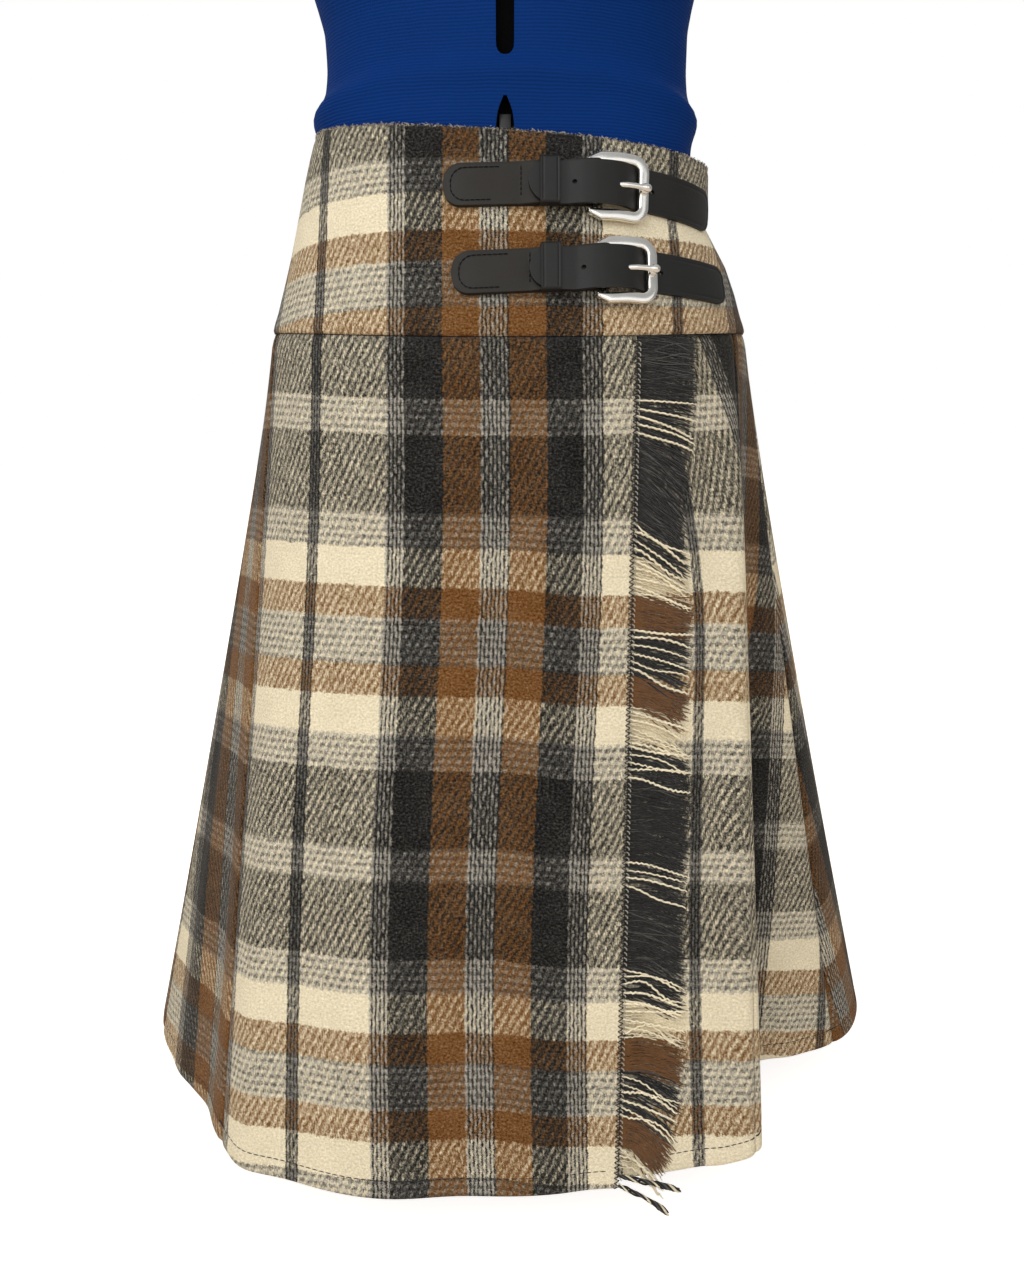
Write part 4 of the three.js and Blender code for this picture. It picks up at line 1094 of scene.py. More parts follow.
class SKIRT_OT_panels(bpy.types.Operator):
    """Makes the six panels below the yoke and their turned-up hem"""

    bl_idname = "skirt.panels"
    bl_label = "Lower Panels"

    def execute(self, context):
        weave = context.scene.skirt_weave
        apron = make_panel(
            "apron_cloth", -FRONT_LEFT, apron_edge, 110,
            lambda share, along, level: front_cut(along, level), weave, "apron",
            seams=(True, False))
        underlap = make_panel(
            "underlap_cloth", UNDERLAP_START, FRONT_RIGHT, 90,
            lambda share, along, level: underlap_cut(along, level), weave, "underlap",
            sink=underlap_sink, seams=(False, True))
        side_left = make_panel(
            "side_left_cloth", -FRONT_LEFT - SIDE_AT_HEM["left"], -FRONT_LEFT, 60,
            side_left_cut, weave, "side_left")
        side_right = make_panel(
            "side_right_cloth", FRONT_RIGHT, BACK_FROM, 66, side_right_cut, weave, "side_right")
        back_right = make_panel(
            "back_right_cloth", BACK_FROM, BACK_SEAM, 130, back_cut, weave, "back_right")
        back_left = make_panel(
            "back_left_cloth", BACK_SEAM, BACK_TO, 130,
            lambda share, along, level: back_cut(1 - share, along, level), weave, "back_left")

        def hem_band(name, start, end, columns, sink=None):
            def place(across, down):
                along = from_front(start + (end - start) * across)
                level = 1 - (0.6 + (HEM_STITCH + 1.2) * (1 - down)) / CLOTH_LENGTH
                inset = weave.thickness / MM + 0.15 + 0.25 * down
                if sink:
                    inset = inset + sink(along, level)
                return panel_face(along, level, inset)

            def cut(across, down):
                row = HEM_ROWS + (HEM_STITCH + 1.2) * down
                return np.column_stack([start + (end - start) * across, row])

            band = grid(name, columns, 6, place, cut, plaid(weave))
            thicken(band, 1.4)
            keep(band, "plaid_wool")
            return band

        around = hem_band("hem_round", FRONT_RIGHT, HEM_LINE.girth + apron_edge(1.0) - 1.0, 640)
        inner = hem_band("hem_underlap", UNDERLAP_START, FRONT_RIGHT - 0.5, 100, underlap_sink)
        return {"FINISHED"}


# How far the yarns hang from level at each share of the way down, in degrees.
YARN_LEAN = ((0, 4), (0.07, 8), (0.11, 26), (0.16, 38), (0.2, 36), (0.25, 29), (0.28, 24),
             (0.33, 15), (0.37, 19), (0.4, 31), (0.42, 21), (0.46, 29), (0.49, 20), (0.53, 14),
             (0.6, 20), (0.65, 22), (0.7, 28), (0.78, 24), (0.84, 20), (0.87, 28), (0.9, 37),
             (0.94, 46), (1.0, 47))
YARN_THICKNESS = {"charcoal": 0.85, "ash": 0.75, "brown": 0.85, "cream": 0.95, "white": 1.65}
YARNS_IN_ROW = {"charcoal": 14, "brown": 13, "cream": 2, "white": 1}
HAIR_HIGHLIGHTS = 0.13              # share of the charcoal yarns drawn in the paler ash, as painted highlights on the hair
YARN_START = 0.4           # from the frayed edge
SHORT_FROM = 0.93          # below this the yarns are shorter
ANY_PHASE = 6.3            # a full turn, about
CORDS_FROM = 0.978         # below this the last yarns are twisted into cords
CORDS = ((0.982, 38.0, 15.0, 0.0), (0.993, 31.0, 24.0, 2.4))   # level, reach, fall, first turn
CORD_PLIES = ("charcoal", "cream", "charcoal", "ash", "charcoal")
PLY_TURN = 1.257           # between one ply and the next


class SKIRT_OT_fringe(bpy.types.Operator):
    """Frays the front edge into yarns of the rows' own colours"""

    bl_idname = "skirt.fringe"
    bl_label = "Fringe"

    def execute(self, context):
        weave, trim = context.scene.skirt_weave, context.scene.skirt_trim
        self.rng = np.random.default_rng(41)
        pick = weave.pick_spacing / MM
        total = sum(count for _, count in WEFT_CHART)
        bounds = np.cumsum([count for _, count in WEFT_CHART])
        levels = np.linspace(0, 1, 400)
        rows = front_cut(apron_edge(levels), levels)[:, 1]
        paths = {"charcoal": [], "ash": [], "brown": [], "cream": [], "white": []}
        for number in range(int(rows[0] // pick), int(rows[-1] // pick) + 1):
            level = float(np.interp((number + 0.5) * pick, rows, levels))
            if level > CORDS_FROM:
                break
            place = abs((number + 0.5 - WEFT_MIDDLE / pick + total) % (2 * total) - total)
            band = WEFT_CHART[min(int(np.searchsorted(bounds, place)), len(WEFT_CHART) - 1)][0]
            colour = {"light mix": ("white", "charcoal")[number % 2]}.get(band, band)
            for turn in range(YARNS_IN_ROW[colour]):
                # Some charcoal yarns are drawn in the paler ash: painted highlights on the tufts'
                # hair.
                highlit = colour == "charcoal" and self.rng.uniform() < HAIR_HIGHLIGHTS
                # Every other cream row's top yarn is drawn in the paler white yarn: a painted
                # highlight on the yarn lying on top.
                lit_cream = colour == "cream" and number % 2 and not turn
                kind = "ash" if highlit else "white" if lit_cream else colour
                paths[kind].append(self.yarn(level, kind, number, pick))
        for level, reach, fall, turn in CORDS:
            for number, colour in enumerate(CORD_PLIES):
                paths[colour].append(self.cord(level, reach, fall, turn + number * PLY_TURN))
        # The white yarns take the cream made paler: the white yarns' own colour, and a painted
        # highlight on the cream rows' top yarns.
        white_and_lit_cream = [min(1.0, value * 1.12 + 0.03) for value in weave.cream]
        pieces = []
        for tone, lines in paths.items():
            material = yarn_of(tone, white_and_lit_cream if tone == "white" else getattr(weave, tone))
            radius = trim.yarn_radius / MM * YARN_THICKNESS[tone]
            pieces.append(threads(f"fringe_{tone}", lines, radius, material))
        keep(join("fringe_yarns", pieces), "fringe_yarn", "fringe")
        return {"FINISHED"}

    def yarn(self, level, colour, number, pick):
        """One yarn from the cloth's edge, lying over the underlap and hanging with its tuft."""
        rng = self.rng
        loose = colour in ("white", "cream")
        t = np.linspace(0, 1, 26 if loose else 10)
        lean = (np.interp(level, *zip(*YARN_LEAN)) + math.sin(number * 0.9 + 2.0) * 3.0
                + rng.normal(0, 2.8 if loose else 5.5))
        sway = rng.normal(0, 7) * np.sin(t * rng.uniform(3, 7) + rng.uniform(0, ANY_PHASE))
        angle = np.radians(lean * (0.75 + 0.4 * t) + sway)
        reach = FRINGE_REACH * rng.uniform(0.93, 1.0) * (1.0 if loose else rng.uniform(0.86, 1.04))
        reach = reach * (1.0 if level < SHORT_FROM else 0.86)
        below = (1 - level) * CLOTH_LENGTH + FRINGE_TAIL - 8 + rng.uniform(-5, 1)
        reach = min(reach, below / max(0.1, np.sin(angle).mean()))
        step = reach / (len(t) - 1)
        run = np.concatenate([[0], np.cumsum(np.cos(angle[1:]) * step)])
        drop = np.concatenate([[0], np.cumsum(np.sin(angle[1:]) * step)])
        crimp = (rng.uniform(0.3, 0.6) if loose else 0.3) * smooth(t, 0.0, 0.15)
        wave = run * 2 * math.pi / rng.uniform(3.4, 5.2) + rng.uniform(0, ANY_PHASE)
        drop = drop + crimp * np.sin(wave)
        start = rng.uniform(-0.5, 0.5) * pick * (0.35 if loose else 1.0)
        down = level + (start + drop) / CLOTH_LENGTH
        along = apron_edge(level) + YARN_START + run
        sink = underlap_sink(along, np.minimum(down, 1.0))
        lift = {"white": 2.2, "cream": 0.9}[colour] if loose else rng.uniform(0.2, 1.8)
        lift = lift + 0.35 * np.cos(run * 1.3 + number)
        inset = 1.0 + np.maximum(sink - 1.0 - lift, -0.6) * smooth(t, 0.0, 0.4)
        width = np.interp(t, [0, 0.85, 1], [1, 1, 0.5]) * rng.uniform(0.7, 1.15)
        return np.column_stack([panel_face(along, down, inset), width])

    def cord(self, level, reach, fall, phase):
        """One ply of a twisted cord at the fringe's lower end."""
        t = np.linspace(0, 1, 40)
        run, drop = reach * t, fall * t ** 1.15 + 0.8 * np.sin(t * 5.0 + phase / 3)
        wind = phase + t * reach * 0.5 + 0.5 * np.sin(t * 9.0)
        spread = 0.8 + 0.5 * t * t
        down = level + (drop + spread * np.sin(wind)) / CLOTH_LENGTH
        along = apron_edge(level) + YARN_START + run
        points = panel_face(along, np.minimum(down, 1.0), -0.9 - spread * np.cos(wind))
        points[:, 2] -= np.maximum(down - 1.0, 0.0) * CLOTH_LENGTH
        return np.column_stack([points, np.interp(t, [0, 0.4, 0.9, 1], [1.5, 1.8, 2.3, 1.0])])


def stitch_line(points, out, pitch, length, dip=0.35):
    """Short threads along a line, each arched out of the cloth and dipping in at its ends."""
    distance = measured(points)
    found = []
    for start in np.arange(0, distance[-1] - length, pitch):
        at = start + np.array([0, 0.16, 0.5, 0.84, 1]) * length
        lift = np.array([-dip, 0.1, 0.22, 0.1, -dip])
        here, way = (between_rows(at, distance, table) for table in (points, out))
        found.append(here + way * lift[:, None])
    return found


EDGE_STROKE = 1.55         # how far down one stroke of the edging's zigzag goes


class SKIRT_OT_stitches(bpy.types.Operator):
    """Sews the hem and the edging along the fringe"""

    bl_idname = "skirt.stitches"
    bl_label = "Hem and Edge Stitches"

    def execute(self, context):
        radius = context.scene.skirt_trim.thread_radius / MM
        dark = made("dark_thread", yarn_wool, (0.02, 0.02, 0.019), 0.2)
        pale = made("pale_thread", yarn_wool, (0.5, 0.47, 0.4), 0.2)

        def hem_run(start, end, sink=None):
            along = from_front(np.arange(start, end, 2.0))
            level = np.full_like(along, 1 - HEM_STITCH / CLOTH_LENGTH)
            inset = hem_turn(level) + (sink(along, level) if sink else 0)
            points = panel_face(along, level, inset - 0.25)
            return stitch_line(points, panel_normal(along, level), 4.4, 4.1)

        runs = hem_run(FRONT_RIGHT, HEM_LINE.girth + apron_edge(1.0) - 2)
        runs += hem_run(APRON_EDGE - 20, FRONT_RIGHT, underlap_sink)
        keep(threads("hem_stitches", runs, radius * 2.0, dark), "plaid_wool")

        strokes, tufts = [], []
        share = np.array([-1, -0.5, 0, 0.5, 1])
        for number, level in enumerate(np.arange(0.004, 0.997, EDGE_STROKE / CLOTH_LENGTH)):
            side = 1 if number % 2 else -1
            down = level + (share + 1) * 0.5 * EDGE_STROKE / CLOTH_LENGTH
            inset = np.array([0.3, -0.15, -0.3, -0.15, 0.3])
            strokes.append(panel_face(apron_edge(level) - 0.6 + share * 1.6 * side, down, inset))
            if number % 2:
                down = level + np.array([0.0, 0.9, 2.2]) / CLOTH_LENGTH
                tufts.append(panel_face(apron_edge(level) + np.array([0.6, 1.9, 2.3]), down,
                                        np.array([0.2, 0.1, 0.5])))
        edging = [threads("edge_strokes", strokes, radius * 1.5, dark),
                  threads("edge_tufts", tufts, radius * 1.5, pale)]
        keep(join("edge_stitches", edging), "plaid_wool")
        return {"FINISHED"}


# ---------------------------------------------------------------- straps and buckles

# Places along a strap are counted from the front's middle, and heights are out of the cloth.
STRAP_WIDTH = 25.0
STRAP_SLOPE = 0.955        # height for each millimetre across a strap, on the leaning yoke
ON_CLOTH = 0.4             # how far the straps stand off the cloth
TAB_LAYER, BILLET_THICK = 1.6, 2.0
BAR_ALONG, BAR_OUT = 52.0, 4.7                     # the buckle's bar
TAB_FROM, TAB_STITCH = -34.5, 10.0                 # the tab's left end and its cross seam
KEEPER_FROM, KEEPER_TO = 20.5, 31.5
BILLET_TIP, BILLET_END = 14.0, 148.0
BUCKLE_LEFT, BUCKLE_RIGHT, BUCKLE_HEIGHT = 47.2, 85.0, 39.8
BUCKLE_DROP = 1.9          # how far the buckle hangs below the tab
BUCKLE_WIDE, BUCKLE_THICK = 6.4, 4.2
HOLES = (39.5, 66.5, 90.0)
BILLET_SAG = 1.9           # how far the billet hangs below the tab, from the keeper to the buckle

# distance along the strap, height out of the cloth of the tab's upper layer and of the billet
TAB_TOP = ((10, 3.6), (18, 5.2), (34, 5.2), (44, 7.9))
BILLET_UNDER = ((14, 5.5), (25, 5.5), (36, 5.9), (45, 8.4), (51, 9.3), (57, 9.2), (63, 8.4),
                (69, 6.4), (75, 3.0), (79, 0.7), (86, 0.4), (148, 0.4))

# the tongue: distance along, height out, shift up and thickness
TONGUE = ((BAR_ALONG + 3.0, BAR_OUT + 2.4, 0, 1.0), (58, 6.2, 0, 1.0), (63, 7.3, 0, 1.0),
          (67, 8.6, 0, 1.0), (71, 9.3, 0, 0.97), (75, 9.4, 0, 0.95), (78, 9.35, 0, 1.0),
          (79.6, 9.3, 0, 1.35), (80.8, 9.2, 0, 1.6), (82.2, 9.1, 0, 1.62), (83.4, 8.9, 0, 1.4),
          (84.1, 8.8, 0, 0.95), (84.4, 8.75, 0, 0.4))

# shift along the yoke; the strap's height at its left end, at the buckle and at its right end; and
# how far the keeper and the billet's tip have slid
FASTENINGS = {"upper": (0.0, 607.0, 609.0, 601.0, 0.0),
              "lower": (5.0, 557.5, 561.5, 555.0, -4.5)}


def on_yoke(fastening):
    """Lays points held as along, out and up against the yoke, straight across the strap."""
    shift, left, buckle, right, _ = FASTENINGS[fastening]
    stations = np.arange(TAB_FROM - 6, BILLET_END + 8, 2.0)
    lean = np.interp(stations, [TAB_FROM, BAR_ALONG + 14, BILLET_END], [left, buckle, right])
    across = [yoke_point(stations + shift, lean + step * STRAP_SLOPE)
              for step in (-11, -5.5, 0, 5.5, 11)]
    face = across[2]
    up = across[4] - across[0]
    up /= np.linalg.norm(up, axis=1, keepdims=True)
    out = np.cross(np.gradient(face, axis=0), up)
    out /= np.linalg.norm(out, axis=1, keepdims=True)
    clear = np.max([((point - face) * out).sum(1) for point in across], axis=0)
    face = face + out * clear[:, None]

    def place(points):
        along = points[:, 0]
        spot, way, rise = (between_rows(along, stations, table) for table in (face, out, up))
        return spot + way * points[:, 1:2] + rise * points[:, 2:3]

    return place


FAR_OFF = 200              # an end so far along that a strap doesn't narrow to it


def rounded_half(along, start, end, start_radius, end_radius):
    """Half the strap's width, narrowing round its two ends."""
    half = np.full_like(along, STRAP_WIDTH / 2)
    for distance, radius in ((along - start, start_radius), (end - along, end_radius)):
        near = np.clip(distance, 0, radius)
        bow = np.sqrt(radius ** 2 - (radius - near) ** 2)
        half = np.minimum(half, STRAP_WIDTH / 2 - radius + bow)
    return np.maximum(half, 0.4)


def eased(table, step=1.0):
    """A table of heights as a smooth line."""
    table = np.array(table, float)
    along = np.arange(table[0, 0], table[-1, 0] + step / 2, step)
    height = np.interp(along, table[:, 0], table[:, 1])
    kernel = np.array([1, 2, 3, 2, 1]) / 9
    padded = np.concatenate([[height[0]] * 2, height, [height[-1]] * 2])
    return np.column_stack([along, np.convolve(padded, kernel, "valid")])


def rounded_corners(corners, radii, count):
    """A line turning through corners, each rounded by its radius."""
    line = []
    for i, (corner, radius) in enumerate(zip(corners, radii)):
        corner = np.array(corner, float)
        before = np.array(corners[i - 1], float) - corner
        after = np.array(corners[(i + 1) % len(corners)], float) - corner
        before, after = before / np.linalg.norm(before), after / np.linalg.norm(after)
        centre = corner + (before + after) * radius
        for t in np.linspace(0, math.pi / 2, count):
            line.append(centre - after * radius * math.cos(t) - before * radius * math.sin(t))
    return np.array(line)


def strip(name, path, half_width, thickness, material, place, rows=16, dent=None):
    """A strap whose side view follows a path of along and out, drawn out to a half width."""
    path = np.array(path, float)
    steps = measured(path)

    def lay(across, down):
        along, out = (np.interp(across * steps[-1], steps, path[:, i]) for i in (0, 1))
        half = half_width(along)
        up = half * (1 - 2 * down)
        if dent:
            out = out - dent(along, half - np.abs(up))
        return place(np.column_stack([along, out, up]))

    def cut(across, down):
        along = np.interp(across * steps[-1], steps, path[:, 0])
        return np.column_stack([across * steps[-1], half_width(along) * (1 - 2 * down)])

    piece = grid(name, int(steps[-1]), rows, lay, cut, material)
    thicken(piece, thickness, 0.0)
    finish_edges(piece, min(0.45, thickness * 0.3))
    return piece


class SKIRT_OT_straps(bpy.types.Operator):
    """Makes the leather tabs, keepers and billets with their stitches"""

    bl_idname = "skirt.straps"
    bl_label = "Leather Straps"

    def execute(self, context):
        trim = context.scene.skirt_trim
        tab_hide = made("tab_hide", leather, tuple(trim.tab_hide), 0.42)
        strap_hide = made("billet_hide", leather, tuple(trim.strap_hide), 0.34)
        black = made("black_thread", yarn_wool, (0.004, 0.004, 0.004), 0.2)
        for side, (*_, slid) in FASTENINGS.items():
            place = on_yoke(side)
            tab = strip(f"tab_leather_{side}", self.tab_path(),
                        lambda along: rounded_half(along, TAB_FROM, FAR_OFF, 10.5, 1),
                        TAB_LAYER, tab_hide, place)
            keep(tab, "strap_leather", f"tab_{side}")

            tip = BILLET_TIP + slid
            under = eased(((tip, 5.5),) + BILLET_UNDER[1:])
            under[:, 1] += BILLET_THICK / 2

            def hung(points):
                sag = BILLET_SAG * np.interp(points[:, 0], [16, 34, 66, 84], [0, 1, 1, 0])
                return place(points - np.column_stack([np.zeros((len(points), 2)), sag]))

            billet = strip(f"billet_leather_{side}", under,
                           lambda along: rounded_half(along, tip, BILLET_END, 12.4, 9.5),
                           BILLET_THICK, strap_hide, hung, 44, self.crease_line)
            keep(billet, "strap_leather", f"billet_{side}")
            self.punch(billet, under, hung)
            self.sew(side, place, black)
            self.loop(side, place, strap_hide, slid)
        return {"FINISHED"}

    def tab_path(self):
        """The tab's side view: along the cloth, round the buckle's bar and back over itself."""
        low = ON_CLOTH + TAB_LAYER / 2
        turn = [(BAR_ALONG + 3.5 * math.cos(a), BAR_OUT + 3.5 * math.sin(a))
                for a in np.linspace(-math.pi / 2, math.pi / 2, 13)]
        over = [(a, h - TAB_LAYER / 2) for a, h in eased(TAB_TOP)[::-1]]
        path = [(a, low) for a in np.arange(TAB_FROM, BAR_ALONG, 3.0)] + turn + over
        path += [(a, low + TAB_LAYER) for a in np.arange(TAB_STITCH - 2, TAB_FROM, -3.0)]
        return path + [(TAB_FROM, low + TAB_LAYER)]

    def crease_line(self, along, edge):
        """The line pressed round the strap's free end."""
        distance = np.minimum(edge, BILLET_END - along)
        return 0.4 * np.exp(-((distance - 2.6) / 0.6) ** 2) * smooth(along, 88.0, 98.0)

    def punch(self, billet, under, place):
        """Cuts the holes through the billet."""
        apply_modifiers(billet)
        cutters = []
        for hole in HOLES:
            height = float(np.interp(hole, under[:, 0], under[:, 1]))
            mesh = bpy.data.meshes.new("hole")
            with shaping(mesh) as bm:
                bmesh.ops.create_cone(bm, cap_ends=True, cap_tris=False, segments=20,
                                      radius1=1.35, radius2=1.35, depth=7)
                for v in bm.verts:
                    x, y, z = v.co
                    v.co = (hole + x, height + z, y)
            set_corners(mesh, place(corners_of(mesh)) * MM)
            with shaping(mesh) as bm:
                bmesh.ops.recalc_face_normals(bm, faces=bm.faces)
            cutters.append(placed("hole", mesh))
        cut_out(billet, cutters)
        billet.data.set_sharp_from_angle(angle=math.radians(50))

    def sew(self, side, place, thread):
        """Black stitches round the tab's end and across it."""
        top = ON_CLOTH + 2 * TAB_LAYER
        half, left, radius = STRAP_WIDTH / 2 - 2.9, TAB_FROM + 4.4, 8.2
        arc = np.linspace(math.pi / 2, math.pi, 9)
        upper = [(left + radius + radius * math.cos(a), half - radius + radius * math.sin(a))
                 for a in arc]
        outline = [(-2.5, half)] + upper + [(x, -y) for x, y in upper[::-1]] + [(-5.0, -half)]
        crossing = [(TAB_STITCH, half + 0.4), (TAB_STITCH, -half - 0.4)]
        found = []
        for line in (np.array(outline), np.array(crossing)):
            steps = measured(line)
            at = np.arange(0, steps[-1], 0.5)
            fine = np.column_stack([np.interp(at, steps, line[:, 0]), np.full(len(at), top),
                                    np.interp(at, steps, line[:, 1])])
            out = np.tile([0.0, 1.0, 0.0], (len(fine), 1))
            found += stitch_line(fine, out, 3.0, 2.5, 0.5)
        keep(threads(f"tab_stitches_{side}", found, 0.5, thread, sides=1, place=place),
             "strap_leather")

    def loop(self, side, place, hide, slid):
        """The keeper, a band round the tab and the billet."""
        half = STRAP_WIDTH / 2 + 1.0
        low, high = ON_CLOTH + TAB_LAYER + 0.8, 5.7 + BILLET_THICK + 0.95
        corners = ((high, half), (high, -half), (low, -half), (low, half))
        line = rounded_corners(corners, (1.5,) * 4, 6)
        line = np.vstack([line, line[:1]])
        steps = measured(line)

        def lay(across, down):
            out, up = (np.interp(across * steps[-1], steps, line[:, i]) for i in (0, 1))
            along = KEEPER_FROM + slid + (KEEPER_TO - KEEPER_FROM) * down
            edge = np.minimum(down, 1 - down) * (KEEPER_TO - KEEPER_FROM)
            groove = 0.35 * np.exp(-((edge - 1.5) / 0.45) ** 2) * (out > high - 0.2)
            return place(np.column_stack([along, out - groove, up]))

        def cut(across, down):
            return np.column_stack([across * steps[-1], (KEEPER_TO - KEEPER_FROM) * down])

        band = grid(f"keeper_leather_{side}", 120, 36, lay, cut, hide)
        closed_up(band, fill=False)
        thicken(band, 1.3, 0.0)
        finish_edges(band, 0.35)
        keep(band, "strap_leather", f"keeper_{side}")


class SKIRT_OT_buckles(bpy.types.Operator):
    """Makes the nickel buckles and their tongues"""

    bl_idname = "skirt.buckles"
    bl_label = "Buckles"

    def execute(self, context):
        plate = made("polished_nickel", nickel, context.scene.skirt_trim)
        for side in FASTENINGS:
            place = on_yoke(side)
            left, right = BUCKLE_LEFT, BUCKLE_RIGHT - BUCKLE_WIDE / 2
            half = (BUCKLE_HEIGHT - BUCKLE_WIDE) / 2
            corners = ((left, half), (right, half), (right, -half), (left, -half))
            line = rounded_corners(corners, (0.01, 7.2, 7.2, 0.01), 14)
            frame = self.bar(f"buckle_frame_{side}", line, plate, place)
            pin = np.array([(BAR_ALONG, BAR_OUT, up) for up in np.linspace(-half + 1, half - 1, 9)])
            rod = threads(f"buckle_rod_{side}", [pin - (0, 0, BUCKLE_DROP)], 1.9, plate,
                          sides=4, place=place)
            keep(join(f"buckle_frame_{side}", [frame, rod]), "buckle_metal", f"buckle_{side}")

            tongue = np.array(TONGUE)
            tongue[:, 2] -= np.interp(tongue[:, 0], [60, 84], [2.6, 1.6])
            eye = np.array([(BAR_ALONG + 3.0 * math.cos(a), BAR_OUT + 3.0 * math.sin(a), 0.0)
                            for a in np.linspace(0, 2 * math.pi, 25)])
            pieces = [threads(f"tongue_pin_{side}", [tongue], 1.7, plate, sides=5, place=place),
                      threads(f"tongue_eye_{side}", [eye], 1.1, plate, sides=2, place=place)]
            keep(join(f"tongue_pin_{side}", pieces), "buckle_metal", f"tongue_{side}")
        return {"FINISHED"}

    def bar(self, name, line, plate, place):
        """The frame's flat bar with softened edges, running to a point at both ends."""
        steps = measured(line)
        tangent = np.gradient(line, axis=0)
        tangent /= np.linalg.norm(tangent, axis=1, keepdims=True)
        side = np.column_stack([-tangent[:, 1], tangent[:, 0]])

        def square(value):
            return np.sign(value) * np.abs(value) ** 0.6

        def lay(across, down):
            at = across * steps[-1]
            x, y, nx, ny = (np.interp(at, steps, values) for values in (*line.T, *side.T))
            turn = down * 2 * math.pi
            end = np.minimum(at, steps[-1] - at)
            width = BUCKLE_WIDE / 2 * np.interp(end, [0, 1.2, 8.0], [0.1, 0.45, 1.0])
            spread = width * (square(np.cos(turn)) + 1) - BUCKLE_WIDE / 2
            rise = 0.35 * np.clip((x - 62) / 24, 0, 1)
            out = BAR_OUT + rise + BUCKLE_THICK / 2 * square(np.sin(turn))
            return place(np.column_stack([x + nx * spread, out, y + ny * spread - BUCKLE_DROP]))

        def cut(across, down):
            return np.column_stack([across * steps[-1], down * 16])

        return closed_up(grid(name, 150, 28, lay, cut, plate))


# ---------------------------------------------------------------- dress form

# height, half widths left and right, reach front and back, squareness
FORM_SECTIONS = (
    (415, 128, 128, 90, 84, 2.2), (420, 140, 140, 103, 96, 2.2), (436, 149, 150, 114, 106, 2.2),
    (470, 152, 153, 119.5, 110.5, 2.15), (500, 152, 153, 119.6, 112.4, 2.15),
    (523, 151.2, 152, 118.4, 112, 2.15), (552, 142.6, 145, 113.2, 106.8, 2.2),
    (571, 137.2, 138, 107.2, 102.8, 2.2), (599, 130.4, 127.4, 99, 96.6, 2.25),
    (615, 126.4, 125.5, 94.2, 93.8, 2.3), (640, 119.6, 121.4, 86.6, 88, 2.3),
    (656, 120.4, 121.8, 85.6, 86, 2.25), (667, 119, 120.6, 84.6, 84, 2.2),
    (678, 115.2, 118, 83, 81.5, 2.15), (692, 113.8, 117, 82.6, 80, 2.15),
    (710, 114.4, 117, 83.5, 80, 2.15), (724, 117.6, 118.8, 85.5, 81, 2.15),
    (740, 122, 122, 89, 83, 2.15), (790, 128, 128, 99, 88, 2.15), (840, 138, 138, 115, 95, 2.15),
    (880, 144, 144, 126, 100, 2.2), (915, 147, 147, 126, 104, 2.25), (950, 148, 148, 117, 107, 2.3),
    (985, 151, 151, 105, 107, 2.4), (1015, 154, 154, 91, 102, 2.5), (1036, 149, 149, 78, 93, 2.4),
    (1052, 127, 127, 69, 82, 2.25), (1066, 98, 98, 61, 71, 2.15), (1079, 71, 71, 54.5, 60, 2.1),
    (1092, 57, 57, 51, 53.5, 2.05), (1112, 53, 53, 50, 51, 2), (1135, 52, 52, 50, 50, 2),
)
FORM_FOOT, FORM_NECK = FORM_SECTIONS[0][0], FORM_SECTIONS[-1][0]
FORM_GIRTH = 800           # of the knit's flat cut
WAIST_BAND = 675.0         # the raised band round the waist
SLOT_MIDDLE, SLOT_WIDTH, SLOT_DEPTH, SLOT_TAPER = 1.0, 10.5, 9.0, 14.0
SLOTS = ((436, 659), (681, 1000))
BRACKET = (622.0, 650.0)   # the adjuster's bracket, from and to


def form_front(height):
    """How far the form reaches forward at a height."""
    return float(np.interp(height, [s[0] for s in FORM_SECTIONS], [s[3] for s in FORM_SECTIONS]))


def black_plastic():
    """Plastic of the adjuster and the neck cap."""
    return made("black_plastic", moulded, (0.012, 0.012, 0.013), 0.45)


